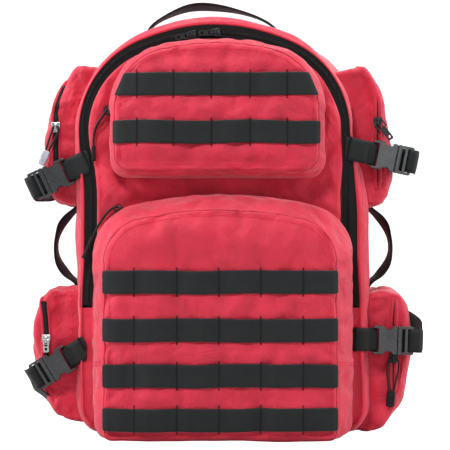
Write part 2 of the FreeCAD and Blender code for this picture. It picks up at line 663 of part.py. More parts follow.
def anchor(side, z):
    """Stitched tab that holds one end of a side handle on the body's side."""
    x0, x1 = sorted((side * (BODY_HALF_W + 0.2), side * (BODY_HALF_W + 2.0)))
    return block(x0, x1, SIDE_HANDLE_Y - 9, SIDE_HANDLE_Y + 9, z - 5, z + 5)


export("side_handle_left", side_handle(-1))
export("side_handle_right", side_handle(1))
export_group("side_handle_anchors", [anchor(s, z) for s in (-1, 1) for z in (242.0, 167.0)])


# ---- Shoulder straps ---------------------------------------------------------------------------
# Local frame: x down the strap from its top anchor to its bottom anchor, y across, z away from the back.
TOP_ANCHOR = (50.0, BACK_Y + 2.5, 436.0)
BOTTOM_ANCHOR = (132.0, BACK_Y + 2.5, 26.0)
PAD_HALF_W = 31.0
NECK_HALF_W = 14.0
PAD_T = 13.0


def shoulder_strap(side):
    top = V(side * TOP_ANCHOR[0], TOP_ANCHOR[1], TOP_ANCHOR[2])
    bottom = V(side * BOTTOM_ANCHOR[0], BOTTOM_ANCHOR[1], BOTTOM_ANCHOR[2])
    span = (bottom - top).Length
    matrix = frame(top, bottom - top, V(0, 1, 0))
    neck = strip([(2.0, 3.0), (9.0, 9.0), (16.0, 24.0)], 3.0, -NECK_HALF_W, NECK_HALF_W)
    pad = strip([(12.0, 21.0), (26.0, 40.0), (105.0, 57.0), (190.0, 51.0), (248.0, 36.0)], PAD_T,
                -PAD_HALF_W, PAD_HALF_W)
    buckle = rounded_block(-17, 17, -15.5, 15.5, -3.0, 3.0, 2.5, 1.2)
    for x0, x1 in ((-13, -8.5), (-3.5, 1.0), (6.0, 12.0)):
        buckle = buckle.cut(block(x0, x1, -13, 13, -5, 5))
    tilt = FreeCAD.Matrix()
    tilt.rotateY(math.radians(14.0))
    tilt.move(V(267.5, 0, 31.5))
    up_the_slot = [(275.7, 27.4), (277.2, 33.4), (286.6, 31.0)]
    web = strip(up_the_slot + [(340.0, 15.0), (396.0, 6.0), (span - 2, 4.0)], WEBBING_T + 0.4, -12.5, 12.5)
    print("shoulder strap axis", top, (bottom - top).normalize(), "span", span)
    return (pad.fuse(neck).transformed(matrix), buckle.transformed(matrix.multiply(tilt)), web.transformed(matrix))


for key, side in (("left", -1), ("right", 1)):
    pad, adjuster, web = shoulder_strap(side)
    export("shoulder_pad_" + key, pad)
    export("strap_adjuster_" + key, adjuster)
    export("shoulder_webbing_" + key, web)

print("LOWER face y", LOWER.face_y, "lid y", LOWER.lid_y, "UPPER face y", UPPER.face_y, "lid y", UPPER.lid_y)
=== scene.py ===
"""The looks of the trauma backpack: sewn canvas, webbing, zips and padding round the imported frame.

Lengths are in millimetres until a mesh or a curve is made, on the frame's own axes:
+Z up, -Y the front with the pockets, +X to the right seen from the front.
"""
import bpy
import bmesh
import json
import math
from mathutils import Matrix, Vector, noise
from mathutils.bvhtree import BVHTree

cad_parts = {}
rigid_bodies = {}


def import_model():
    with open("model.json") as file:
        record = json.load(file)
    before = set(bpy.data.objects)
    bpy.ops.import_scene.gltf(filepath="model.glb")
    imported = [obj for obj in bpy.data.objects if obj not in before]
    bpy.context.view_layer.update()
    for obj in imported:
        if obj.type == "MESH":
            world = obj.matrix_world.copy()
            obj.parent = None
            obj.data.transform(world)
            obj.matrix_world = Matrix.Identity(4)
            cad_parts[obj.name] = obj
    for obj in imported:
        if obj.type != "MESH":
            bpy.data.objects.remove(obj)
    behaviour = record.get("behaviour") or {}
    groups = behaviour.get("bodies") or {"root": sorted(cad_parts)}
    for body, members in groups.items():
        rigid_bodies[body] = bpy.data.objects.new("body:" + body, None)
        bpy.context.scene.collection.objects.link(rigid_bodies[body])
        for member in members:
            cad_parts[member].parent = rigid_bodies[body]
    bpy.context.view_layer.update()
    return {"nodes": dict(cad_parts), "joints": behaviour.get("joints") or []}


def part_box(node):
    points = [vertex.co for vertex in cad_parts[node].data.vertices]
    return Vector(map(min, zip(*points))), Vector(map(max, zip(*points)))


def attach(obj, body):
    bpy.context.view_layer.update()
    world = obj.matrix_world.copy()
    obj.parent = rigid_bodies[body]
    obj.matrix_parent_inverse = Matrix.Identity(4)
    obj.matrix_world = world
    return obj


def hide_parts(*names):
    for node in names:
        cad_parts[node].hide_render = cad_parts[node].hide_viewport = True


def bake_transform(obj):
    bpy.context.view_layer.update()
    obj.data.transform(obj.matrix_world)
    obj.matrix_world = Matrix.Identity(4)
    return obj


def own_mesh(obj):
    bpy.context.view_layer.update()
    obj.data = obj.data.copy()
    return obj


MM = 0.001
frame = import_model()
noise.seed_set(11)                  # else the folds differ from run to run


def node_box(name):
    """A CAD node's box, in millimetres."""
    low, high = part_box(name)
    return low / MM, high / MM


def joint(name):
    return next(j for j in frame["joints"] if j["name"] == name)


# ---- Materials -----------------------------------------------------------------------
class Shade:
    """A Principled material and the nodes that feed it."""

    def __init__(self, name, color, roughness, **sockets):
        self.material = bpy.data.materials.new(name)
        self.material.use_nodes = True
        self.tree = self.material.node_tree
        self.bsdf = self.tree.nodes["Principled BSDF"]
        self.bsdf.inputs["Base Color"].default_value = (*color, 1)
        self.bsdf.inputs["Roughness"].default_value = roughness
        for socket, value in sockets.items():
            self.bsdf.inputs[socket.replace("_", " ")].default_value = value
        self.color = color
        self.normal = None

    def node(self, kind, **values):
        made = self.tree.nodes.new("ShaderNode" + kind)
        for name, value in values.items():
            setattr(made, name, value)
        return made

    def feed(self, node, socket, value):
        """Connects another node's output, or sets a number or a vector."""
        if isinstance(value, bpy.types.NodeSocket):
            self.tree.links.new(value, node.inputs[socket])
        else:
            node.inputs[socket].default_value = value

    def math(self, operation, a, b=0.0, c=0.0):
        made = self.node("Math", operation=operation)
        for socket, value in enumerate((a, b, c)):
            self.feed(made, socket, value)
        return made.outputs[0]

    def where(self, output="Object"):
        return self.node("TexCoord").outputs[output]

    def parts(self, vector):
        made = self.node("SeparateXYZ")
        self.feed(made, 0, vector)
        return made.outputs

    def noise(self, scale, detail=3.0, rough=0.55, distortion=0.0):
        made = self.node("TexNoise")
        self.feed(made, "Distortion", distortion)
        self.feed(made, "Vector", self.where())
        self.feed(made, "Scale", scale)
        self.feed(made, "Detail", detail)
        self.feed(made, "Roughness", rough)
        return made.outputs["Fac"]

    def ramp(self, value, stops):
        made = self.node("ValToRGB")
        self.feed(made, "Fac", value)
        while len(made.color_ramp.elements) < len(stops):
            made.color_ramp.elements.new(0.5)
        for element, (place, color) in zip(made.color_ramp.elements, stops):
            element.position = place
            element.color = (*color, 1)
        return made.outputs["Color"]

    def vary(self, value, dark=0.75, light=1.2):
        """Base colour that runs from darker to lighter with value."""
        low = tuple(c * dark for c in self.color)
        high = tuple(min(c * light, 1.0) for c in self.color)
        self.feed(self.bsdf, "Base Color", self.ramp(value, [(0.3, low), (0.7, high)]))

    def rough(self, value, low, high):
        made = self.node("MapRange")
        self.feed(made, "Value", value)
        self.feed(made, "To Min", low)
        self.feed(made, "To Max", high)
        self.feed(self.bsdf, "Roughness", made.outputs[0])

    def bump(self, height, distance, strength=1.0):
        made = self.node("Bump")
        self.feed(made, "Height", height)
        self.feed(made, "Distance", distance)
        self.feed(made, "Strength", strength)
        if self.normal is not None:
            self.feed(made, "Normal", self.normal)
        self.normal = made.outputs[0]
        self.feed(self.bsdf, "Normal", self.normal)

    def plain_weave(self, pitch):
        """Height of a plain weave whose threads follow the two row axes that lie most in the surface."""
        turn = 2 * math.pi / (pitch * MM)
        axes = self.parts(self.where())
        waves = [self.math("SINE", self.math("MULTIPLY", axis, turn)) for axis in axes]
        facing = [self.math("ABSOLUTE", n) for n in self.parts(self.where("Normal"))]
        total = None
        for n, (a, b) in enumerate(((1, 2), (0, 2), (0, 1))):
            term = self.math("MULTIPLY", self.math("MULTIPLY", waves[a], waves[b]), facing[n])
            total = term if total is None else self.math("ADD", total, term)
        return self.math("MULTIPLY_ADD", total, 0.5, 0.5)

    def webbing_weave(self, pitch):
        """Height of a herringbone weave, from the strip's own lengthwise and crosswise measure."""
        made = self.node("Attribute", attribute_name="thread")
        along, across, _ = self.parts(made.outputs["Vector"])
        turn = 2 * math.pi / (pitch * MM)
        rib = self.math("PINGPONG", across, 3.1 * MM)
        slant = self.math("SINE", self.math("MULTIPLY", self.math("ADD", along, rib), turn))
        cross = self.math("SINE", self.math("MULTIPLY", across, turn * 0.8))
        both = self.math("ADD", slant, self.math("MULTIPLY", cross, 0.5))
        return self.math("MULTIPLY_ADD", both, 0.33, 0.5)


WHITE = (1, 1, 1, 1)
WARM = (1, 0.86, 0.88, 1)


def fabric(name, color, pitch=0.75, depth=0.10, rough=0.66, sheen=0.3, tint=WARM, creases=0.0):
    shade = Shade(name, color, rough, Sheen_Weight=sheen, Sheen_Roughness=0.5, Sheen_Tint=tint,
                  Specular_IOR_Level=0.5)
    weave = shade.plain_weave(pitch)
    cloudy = shade.noise(38.0, 4.0)
    thready = shade.noise(900.0, 2.0)
    blend = shade.math("MULTIPLY_ADD", thready, 0.34, shade.math("MULTIPLY", cloudy, 0.66))
    shade.vary(blend, 0.84, 1.14)
    shade.rough(cloudy, rough - 0.05, rough + 0.08)
    if creases:
        shade.bump(shade.noise(14.0, 4.0, rough=0.5, distortion=1.1), 9.0 * creases * MM, 0.7)
        shade.bump(shade.noise(60.0, 3.0, distortion=0.8), 1.8 * creases * MM, 0.7)
    shade.bump(weave, depth * MM, 0.55)
    return shade.material


def webbing_material(name, color):
    shade = Shade(name, color, 0.72, Sheen_Weight=0.22, Sheen_Roughness=0.4, Specular_IOR_Level=0.35)
    weave = shade.webbing_weave(1.5)
    shade.vary(shade.math("MULTIPLY_ADD", shade.noise(700.0, 2.0), 0.5, shade.math("MULTIPLY", weave, 0.5)),
               0.72, 1.35)
    shade.bump(weave, 0.16 * MM, 0.8)
    return shade.material


def moulded(name, color, rough=0.42, grain=0.05, specular=0.5):
    shade = Shade(name, color, rough, Specular_IOR_Level=specular)
    fine = shade.noise(1400.0, 2.0)
    shade.vary(shade.noise(90.0, 3.0), 0.85, 1.18)
    shade.rough(shade.noise(240.0, 4.0), rough - 0.08, rough + 0.12)
    shade.bump(fine, grain * MM, 0.5)
    return shade.material


def metal(name, color, rough, metallic=1.0):
    shade = Shade(name, color, rough, Metallic=metallic)
    worn = shade.noise(420.0, 5.0)
    shade.vary(worn, 0.82, 1.12)
    shade.rough(worn, rough - 0.08, rough + 0.15)
    shade.bump(shade.noise(900.0, 2.0), 0.02 * MM, 0.4)
    return shade.material


def spacer_mesh(name, color):
    """Knitted air mesh: rounded holes on a staggered grid, in the back's own plane."""
    shade = Shade(name, color, 0.9, Sheen_Weight=0.3)
    cells = shade.node("TexVoronoi", feature="F1")
    shade.feed(cells, "Scale", 290.0)
    shade.feed(cells, "Randomness", 0.18)
    shade.feed(cells, "Vector", shade.where())
    hole = shade.math("MULTIPLY", cells.outputs["Distance"], 290.0 * 0.0035)
    # The holes are painted darker than the knit round them: painted shade in the holes.
    shade.feed(shade.bsdf, "Base Color", shade.ramp(cells.outputs["Distance"], [
        (0.10, tuple(c * 0.25 for c in color)), (0.42, tuple(c * 1.7 for c in color))]))
    shade.bump(hole, 0.9 * MM, 0.9)
    return shade.material


RED = (0.60, 0.028, 0.064)
MATERIALS = {
    "red_fabric": fabric("red_canvas", RED, creases=1.0),
    "red_binding": fabric("red_binding", (0.53, 0.018, 0.050), pitch=0.6, depth=0.08),
    "red_thread": moulded("red_thread", (0.66, 0.03, 0.07), 0.7, 0.03, 0.3),
    "zip_tape": fabric("zip_tape", (0.0065, 0.0070, 0.0075), 0.6, 0.08, 0.8, 0.02, WHITE),
    "zip_coil": moulded("zip_coil", (0.011, 0.012, 0.013), 0.38, 0.02, 0.5),
    "black_webbing": webbing_material("black_webbing", (0.0192, 0.0222, 0.0230)),
    # The handles' webbing has a blue-green tint painted into its base colour. It cancels the red light that
    # the shell bounces onto the handles, so it is painted neutral light.
    "handle_webbing_red_bounce_cancelled": webbing_material("handle_webbing_red_bounce_cancelled", (0.0135, 0.0215, 0.0225)),
    "black_thread": moulded("black_thread", (0.016, 0.016, 0.017), 0.6, 0.03, 0.3),
    "black_canvas": fabric("black_canvas", (0.020, 0.021, 0.023), 0.75, 0.12, 0.8, 0.2, WHITE),
    "spacer_mesh": spacer_mesh("spacer_mesh", (0.022, 0.023, 0.025)),
    "lining": fabric("lining", (0.045, 0.046, 0.050), 0.5, 0.05, 0.6, 0.2, WHITE),
    "foam": fabric("foam_cover", (0.42, 0.42, 0.40), 1.6, 0.25, 0.9, 0.1, WHITE),
    "buckle_plastic": moulded("buckle_plastic", (0.055, 0.060, 0.064), 0.25, 0.05, 0.6),
    "black_metal": metal("black_enamel", (0.016, 0.017, 0.019), 0.34, 0.0),
    "nickel": metal("nickel", (0.66, 0.66, 0.67), 0.26),
    "pull_cord": fabric("pull_cord", (0.012, 0.012, 0.013), 0.9, 0.2, 0.7, 0.2, WHITE),
    "black_rubber": moulded("black_rubber", (0.016, 0.016, 0.018), 0.55, 0.06, 0.35),
    "grey_rubber": moulded("grey_rubber", (0.47, 0.49, 0.56), 0.5, 0.05, 0.4),
}


# ---- Pieces --------------------------------------------------------------------------
def placed(name, data):
    made = bpy.data.objects.new(name, data)
    bpy.context.scene.collection.objects.link(made)
    return made


def piece(name, points, faces, material, body=None, replaces=(), thread=None):
    """A mesh piece from points in millimetres, with its material, riding on a body."""
    mesh = bpy.data.meshes.new(name)
    mesh.from_pydata([Vector(p) * MM for p in points], [], faces)
    mesh.polygons.foreach_set("use_smooth", [True] * len(mesh.polygons))
    if thread is not None:
        attribute = mesh.attributes.new("thread", "FLOAT_VECTOR", "POINT")
        attribute.data.foreach_set("vector", [c * MM for t in thread for c in (t[0], t[1], 0.0)])
    return dress(placed(name, mesh), material, body, replaces)


def dress(made, material, body=None, replaces=()):
    """Gives a piece its material, the body that it rides on and the nodes that it replaces."""
    made.data.materials.clear()
    made.data.materials.append(MATERIALS[material])
    if body:
        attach(made, body)
    if replaces:
        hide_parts(*replaces)
    return made


def modifier(made, kind, **values):
    added = made.modifiers.new(kind.lower(), kind)
    for name, value in values.items():
        setattr(added, name, value)
    return added


def rounded(made):
    modifier(made, "SUBSURF", levels=1, render_levels=1)


def thicken(made, thickness):
    """Gives a sheet of fabric its thickness, inwards, and rounds it."""
    modifier(made, "SOLIDIFY", thickness=thickness * MM, offset=-1.0, use_even_offset=False)
    rounded(made)


def face_out(made):
    """Turns the faces so that they look away from the piece's middle."""
    work = bmesh.new()
    work.from_mesh(made.data)
    bmesh.ops.recalc_face_normals(work, faces=work.faces)
    middle = sum((v.co for v in work.verts), Vector()) / len(work.verts)
    outward = sum(f.normal.dot(f.calc_center_median() - middle) * f.calc_area() for f in work.faces)
    if outward < 0:
        bmesh.ops.reverse_faces(work, faces=work.faces)
    work.to_mesh(made.data)
    work.free()
    return made


def surface_of(made):
    """The finished surface, for laying other pieces on, in millimetres."""
    bpy.context.view_layer.update()
    graph = bpy.context.evaluated_depsgraph_get()
    seen = made.evaluated_get(graph)
    mesh = seen.to_mesh()
    world = made.matrix_world
    points = [(world @ v.co) / MM for v in mesh.vertices]
    faces = [tuple(p.vertices) for p in mesh.polygons]
    seen.to_mesh_clear()
    return BVHTree.FromPolygons(points, faces)


def laid(tree, point, direction, reach=400.0):
    """Where a ray meets a surface, or None."""
    return tree.ray_cast(Vector(point), Vector(direction), reach)[0]


def tube_faces(rings, count, first=0, closed=False):
    """The walls between rings of count points, which follow one another."""
    total = rings * count
    walls = []
    for i in range(rings if closed else rings - 1):
        for k in range(count):
            a, b = i * count + k, i * count + (k + 1) % count
            walls.append(tuple(first + n % total for n in (a, b, b + count, a + count)))
    return walls


def end_caps(rings, count):
    return [tuple(range(count)), tuple(range((rings - 1) * count, rings * count))]


def grid_faces(rows, columns, first=0):
    """The faces between rows of points, which follow one another."""
    corners = [first + k * columns + i for k in range(rows - 1) for i in range(columns - 1)]
    return [(a, a + 1, a + columns + 1, a + columns) for a in corners]


def frame_at(x, y, z, origin):
    """Takes a place measured along x, y and z from origin to where it lies."""
    return Matrix([*zip(x, y, z, origin), (0, 0, 0, 1)])


def relaxed(ring):
    """A closed ring with each place drawn towards its neighbours."""
    return [(a + b * 2 + c) / 4 for a, b, c in zip(ring[-1:] + ring[:-1], ring, ring[1:] + ring[:1])]


# ---- Outlines and skins --------------------------------------------------------------
def resample(line, count):
    """count evenly spaced points along a polyline, without its last."""
    lengths = [0.0]
    for a, b in zip(line, line[1:]):
        lengths.append(lengths[-1] + math.dist(a, b))
    found, at = [], 0
    for n in range(count):
        goal = lengths[-1] * n / count
        while lengths[at + 1] < goal:
            at += 1
        span = max(lengths[at + 1] - lengths[at], 1e-9)
        share = (goal - lengths[at]) / span
        found.append(tuple(a + (b - a) * share for a, b in zip(line[at], line[at + 1])))
    return found


def arc(cx, cz, r, start_deg, end_deg, steps=16):
    angles = [math.radians(start_deg + (end_deg - start_deg) * n / steps) for n in range(steps + 1)]
    return [(cx + r * math.cos(a), cz + r * math.sin(a)) for a in angles]


class Arch:
    """Flat base, straight sides, two shoulders and a crown, all tangent: the outline of every panel."""

    def __init__(self, half_w, z0, z1, shoulder_r, crown_r, base_r, cx=0.0):
        self.half_w, self.z0, self.z1, self.cx = half_w, z0, z1, cx
        self.shoulder_r, self.crown_r, self.base_r = shoulder_r, crown_r, base_r
        self.crown_z = z1 - crown_r
        self.shoulder_x = half_w - shoulder_r
        self.shoulder_z = self.crown_z + math.sqrt((crown_r - shoulder_r) ** 2 - self.shoulder_x ** 2)
        self.turn = math.degrees(math.atan2(self.shoulder_z - self.crown_z, self.shoulder_x))

    def sides(self, inset=0.0):
        """Bottom, right, top and left, each a polyline. They meet halfway round the corners."""
        w, z0 = self.half_w - inset, self.z0 + inset
        r1, r2 = self.shoulder_r - inset, self.crown_r - inset
        rb = max(self.base_r - inset, 2.0)
        x1, z1, zb = self.shoulder_x, self.shoulder_z, z0 + rb
        bottom = arc(-(w - rb), zb, rb, 225, 270) + arc(w - rb, zb, rb, 270, 315)
        right = arc(w - rb, zb, rb, 315, 360) + arc(x1, z1, r1, 0, self.turn / 2)
        top = (arc(x1, z1, r1, self.turn / 2, self.turn)
               + arc(0, self.crown_z, r2, self.turn, 180 - self.turn, 48)
               + arc(-x1, z1, r1, 180 - self.turn, 180 - self.turn / 2))
        left = arc(-x1, z1, r1, 180 - self.turn / 2, 180) + arc(-(w - rb), zb, rb, 180, 225)
        return [[(x + self.cx, z) for x, z in side] for side in (bottom, right, top, left)]

    def half_width(self, z, inset=0.0):
        """Half the width at a height, or 0 outside it."""
        w, r1, r2 = self.half_w - inset, self.shoulder_r - inset, self.crown_r - inset
        if z > self.shoulder_z:
            low_crown = self.crown_z + r2 * math.sin(math.radians(self.turn))
            if z > self.z1 - inset:
                return 0.0
            if z >= low_crown:
                return math.sqrt(max(r2 ** 2 - (z - self.crown_z) ** 2, 0))
            return self.shoulder_x + math.sqrt(max(r1 ** 2 - (z - self.shoulder_z) ** 2, 0))
        rb = max(self.base_r - inset, 2.0)
        below = self.z0 + inset + rb - z
        return w if below <= 0 else w - rb + math.sqrt(max(rb ** 2 - below ** 2, 0))


def ring_of(sides, y, across, up):
    """A closed ring of points with the given counts on its bottom and top, and on its sides."""
    points = []
    for side, count in zip(sides, (across, up, across, up)):
        points += resample(side, count)
    return [Vector((x, y, z)) for x, z in points]


def mixed(a, b, share):
    return [p.lerp(q, share) for p, q in zip(a, b)]


def cap_rows(ring, across, up):
    """Rows of points that fill a ring, bottom to top, with the ring itself as their edge."""
    bottom = ring[:across + 1]
    right = ring[across:across + up + 1]
    top = list(reversed(ring[across + up:2 * across + up + 1]))
    left = list(reversed(ring[2 * across + up:] + [ring[0]]))
    rows = []
    for j in range(up + 1):
        v = j / up
        row = []
        for i in range(across + 1):
            u = i / across
            straight = bottom[i] * (1 - v) + top[i] * v + left[j] * (1 - u) + right[j] * u
            corners = ((bottom[0] * (1 - u) + bottom[-1] * u) * (1 - v)
                       + (top[0] * (1 - u) + top[-1] * u) * v)
            row.append(straight - corners)
        rows.append(row)
    return rows


class Skin:
    """Points and faces of one continuous piece of sewn fabric, built ring by ring."""

    def __init__(self, across, up):
        self.across, self.up = across, up
        self.points, self.faces, self.rings = [], [], []

    def ring(self, points):
        first = len(self.points)
        self.points += points
        here = list(range(first, first + len(points)))
        if self.rings:
            last, n = self.rings[-1], len(points)
            self.faces += [(last[i], last[(i + 1) % n], here[(i + 1) % n], here[i]) for i in range(n)]
        self.rings.append(here)
        return here

    def cap(self, crown=None, first=False):
        """Fills the last ring, or the first. crown moves a filled point, given its place across and up."""
        ring = self.rings[0 if first else -1]
        rows = cap_rows([self.points[i] for i in ring], self.across, self.up)
        across, up = self.across, self.up
        edge = {}
        for n, index in enumerate(ring):
            if n < across:
                edge[(n, 0)] = index
            elif n < across + up:
                edge[(across, n - across)] = index
            elif n < 2 * across + up:
                edge[(2 * across + up - n, up)] = index
            else:
                edge[(0, 2 * (across + up) - n)] = index
        filled = dict(edge)
        for j in range(1, up):
            for i in range(1, across):
                point = rows[j][i]
                if crown:
                    point = point + crown(i / across, j / up, point)
                filled[(i, j)] = len(self.points)
                self.points.append(point)
        for j in range(up):
            for i in range(across):
                face = (filled[(i, j)], filled[(i + 1, j)], filled[(i + 1, j + 1)], filled[(i, j + 1)])
                self.faces.append(face[::-1] if first else face)
        return filled


def swell(u, v, flat=0.35):
    """0 at a panel's edge and 1 over its middle."""
    return (math.sin(math.pi * u) * math.sin(math.pi * v)) ** flat


def wander(point, scale, seed=0.0):
    """Smooth noise from -1 to 1 at a point in millimetres."""
    return noise.noise(Vector((point[0] / scale + seed, point[1] / scale, point[2] / scale)))


# ---- Cloth ---------------------------------------------------------------------------
CLOTH_FRAMES = 20
CLOTH = dict(quality=7, mass=0.25, tension_stiffness=18, compression_stiffness=18, shear_stiffness=6,
             bending_stiffness=0.35, air_damping=2.0, use_pressure=True, vertex_group_mass="pin")
waiting = []                        # pieces to settle, with how far their points may move


def settle_later(made, pins, pressure, growth, limit):
    """Sets up a cloth simulation. pins gives 0 to 1 for how firmly each point is held."""
    group = made.vertex_groups.new(name="pin")
    for index, weight in pins.items():
        group.add([index], weight, "REPLACE")
    cloth = modifier(made, "CLOTH")
    values = cloth.settings
    for name, value in CLOTH.items():
        setattr(values, name, value)
    values.uniform_pressure_force = pressure
    values.shrink_min = -growth
    values.effector_weights.gravity = 0.0
    cloth.collision_settings.use_collision = False
    cloth.point_cache.frame_start = 1
    cloth.point_cache.frame_end = CLOTH_FRAMES
    waiting.append((made, limit))
    return made


def settle_all():
    """Runs every waiting simulation together, keeps its result and caps how far a point moves."""
    if not waiting:
        return
    scene = bpy.context.scene
    for number in range(1, CLOTH_FRAMES + 1):
        scene.frame_set(number)
    graph = bpy.context.evaluated_depsgraph_get()
    for made, limit in waiting:
        mesh = made.evaluated_get(graph).to_mesh()
        moved = [v.co.copy() for v in mesh.vertices]
        made.evaluated_get(graph).to_mesh_clear()
        made.modifiers.remove(made.modifiers["cloth"])
        for vertex, place in zip(made.data.vertices, moved):
            step = place - vertex.co
            if step.length > limit * MM:
                step *= limit * MM / step.length
            vertex.co += step
        made.vertex_groups.clear()
    waiting.clear()
    scene.frame_set(1)


def crumple(made, depth, size, lean, hold, seed):
    """Soft folds: moves each point along its normal by up to depth. lean stretches the folds on each axis,
    and hold gives 0 to 1 for how free a point is."""
    mesh = made.data
    moves = []
    for vertex in mesh.vertices:
        p = vertex.co / MM
        at = Vector((p.x / lean[0], p.y / lean[1], p.z / lean[2])) / size
        at += Vector((seed, seed * 0.7, -seed))
        wave = noise.noise(at + noise.noise_vector(at * 0.6) * 0.5)
        ridge = 1.0 - 2.2 * abs(noise.noise(at * 1.7 + Vector((9, 2, 5))))
        height = depth * hold(p) * (0.62 * wave + 0.38 * ridge * wave + 0.16 * ridge)
        moves.append(vertex.normal * height * MM)
    for vertex, move in zip(mesh.vertices, moves):
        vertex.co += move
    mesh.update()


def crease(made, strokes):
    """Folds laid on a front: strokes of (x, z, x, z, depth, width), ridges where depth is
    positive."""
    mesh = made.data
    for vertex in mesh.vertices:
        p = vertex.co / MM
        if -vertex.normal.y < 0.35:
            continue
        lift = 0.0
        for x0, z0, x1, z1, depth, width in strokes:
            span = Vector((x1 - x0, z1 - z0))
            share = min(max((Vector((p.x - x0, p.z - z0)).dot(span)) / span.length_squared, 0.0), 1.0)
            off = Vector((p.x - x0 - span.x * share, p.z - z0 - span.y * share)).length
            fade = math.sin(math.pi * min(max(share, 0.08), 0.92)) ** 0.6
            lift += depth * fade * math.exp(-(off / width) ** 2)
        vertex.co.y -= lift * MM
    mesh.update()


# ---- Small sewn and moulded repeats --------------------------------------------------
def beads(name, bars, material, body, replaces=(), sides=5):
    """Many short rounded bars as one piece. Each is (start, end, radius)."""
    points, faces = [], []
    for start, end, radius in bars:
        start, end = Vector(start), Vector(end)
        along = (end - start).normalized()
        side = along.orthogonal().normalized()
        other = along.cross(side)
        first = len(points)
        for place, share in ((start - along * radius * 0.6, 0.45), (start, 1.0), (end, 1.0),
                             (end + along * radius * 0.6, 0.45)):
            for n in range(sides):
                a = 2 * math.pi * n / sides
                points.append(place + (side * math.cos(a) + other * math.sin(a)) * radius * share)
        faces += tube_faces(4, sides, first)
        faces.append(tuple(reversed(range(first, first + sides))))
        faces.append(tuple(range(first + 3 * sides, first + 4 * sides)))
    return piece(name, points, faces, material, body, replaces)


def walk(line, pitch):
    """Points every pitch along a polyline, with the direction there."""
    found, left = [], 0.0
    for a, b in zip(line, line[1:]):
        a, b = Vector(a), Vector(b)
        span = (b - a).length
        if span < 1e-9:
            continue
        along = (b - a) / span
        at = left
        while at < span:
            found.append((a + along * at, along))
            at += pitch
        left = at - span
    return found


def stitch_bars(line, length=2.6, gap=1.0, radius=0.28):
    """A row of stitches along a line."""
    return [(p, p + along * length, radius) for p, along in walk(line, length + gap)]


def piping(name, line, radius, material, body, closed=False, sides=8):
    """A corded edge along a line."""
    points, n = [], len(line)
    for i, place in enumerate(line):
        before = line[i - 1] if closed or i else line[i]
        after = line[(i + 1) % n] if closed or i < n - 1 else line[i]
        along = (Vector(after) - Vector(before)).normalized()
        side = along.cross(Vector((0, 1, 0))).normalized()
        other = along.cross(side)
        for k in range(sides):
            a = 2 * math.pi * k / sides
            points.append(Vector(place) + (side * math.cos(a) + other * math.sin(a)) * radius)
    faces = tube_faces(n, sides, closed=closed) + ([] if closed else end_caps(n, sides))
    return face_out(piece(name, points, faces, material, body))


WOVEN_EDGE = 0.35                   # a strip's thickness at its edges, as a share of its middle's


def strip(name, line, width, thickness, material, body=None, replaces=(), lanes=4):
    """Webbing along a line of (place, crosswise direction) pairs, thinner at its woven edges."""
    points, thread = [], []
    run = 0.0
    last = len(line) - 1
    for i, (place, across) in enumerate(line):
        before, after = line[max(i - 1, 0)][0], line[min(i + 1, last)][0]
        if i:
            run += (Vector(place) - Vector(line[i - 1][0])).length
        along = (Vector(after) - Vector(before)).normalized()
        across = Vector(across).normalized()
        face = along.cross(across).normalized()
        for side in (1, -1):
            for k in range(lanes + 1):
                share = (k / lanes * 2 - 1) * side
                half = thickness / 2 * (WOVEN_EDGE + (1 - WOVEN_EDGE) * (1 - share ** 4))
                points.append(Vector(place) + across * share * width / 2 + face * half * side)
                thread.append((run, share * width / 2))
    count = 2 * (lanes + 1)
    faces = tube_faces(len(line), count) + end_caps(len(line), count)
    return face_out(piece(name, points, faces, material, body, replaces, thread=thread))


def smooth_line(points, count):
    """A smooth open curve through points (Catmull-Rom), as count + 1 places."""
    points = [Vector(p) for p in points]
    padded = [points[0] * 2 - points[1]] + points + [points[-1] * 2 - points[-2]]
    dense = []
    for a, b, c, d in zip(padded, padded[1:], padded[2:], padded[3:]):
        for n in range(12):
            t = n / 12
            dense.append(0.5 * ((2 * b) + (c - a) * t + (2 * a - 5 * b + 4 * c - d) * t * t
                                + (3 * b - a - 3 * c + d) * t ** 3))
    dense.append(points[-1])
    return [Vector(p) for p in resample([tuple(p) for p in dense], count)] + [points[-1]]


# ---- Driving dimensions, from the frame ----------------------------------------------
body_low, body_high = node_box("main_shell")
BODY = Arch(body_high.x, body_low.z, body_high.z, 115.0, 230.0, 28.0)
FRONT_Y, BACK_Y = body_low.y, body_high.y
ZIP_OUTER, ZIP_MIDDLE, ZIP_INNER = 13.0, 17.5, 22.5
ZIP_END_Z = node_box("main_zip_tape_rear")[0].z
PANEL_Y = node_box("front_panel")[0].y
GRID = 56              # fabric cells across the body, and up it
FLOOR_GAP = 0.5                         # the least height of any fabric above the floor


def ease(value, start, end):
    """0 before start, 1 after end."""
    share = min(max((value - start) / (end - start), 0.0), 1.0)
    return share * share * (3 - 2 * share)


RIM_DRAW, RIM_LEAN = 9.5, 9.5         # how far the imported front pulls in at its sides, and leans
ZIP_LEAN, WAIST_DRAW = 5.0, 5.0


def drawn(p, inset):
    """Where a point of the body's outline lies once the pack is filled: towards the front the upper half
    leans to the wearer's side and its rim is drawn in to the zip."""
    share = min(inset / ZIP_MIDDLE, 1.0)
    high = ease(p.z, 235, 335)
    waist = ease(p.z, 140, 200) * (1 - ease(p.z, 260, 320))
    draw = (2.5 + (RIM_DRAW - 2.5) * high) * (1 - share) + WAIST_DRAW * waist * share
    lean = RIM_LEAN * high * (1 - share) + (ZIP_LEAN + (RIM_LEAN - ZIP_LEAN) * ease(p.z, 285, 335)) * share
    lean *= ease(p.z, 10, 110)
    front = 1 - ease(p.y, FRONT_Y + 6, BACK_Y - 14)
    side = min(max(p.x / 60.0, -1.0), 1.0)
    return Vector((p.x - (side * draw + lean) * front, p.y, p.z))


def body_ring(inset, y):
    """The body's outline at a depth, inset from its side."""
    return [drawn(p, inset) for p in ring_of(BODY.sides(inset), y, GRID, GRID)]


# ---- Main compartment ----------------------------------------------------------------
SIDE_PUCKER = 1.1


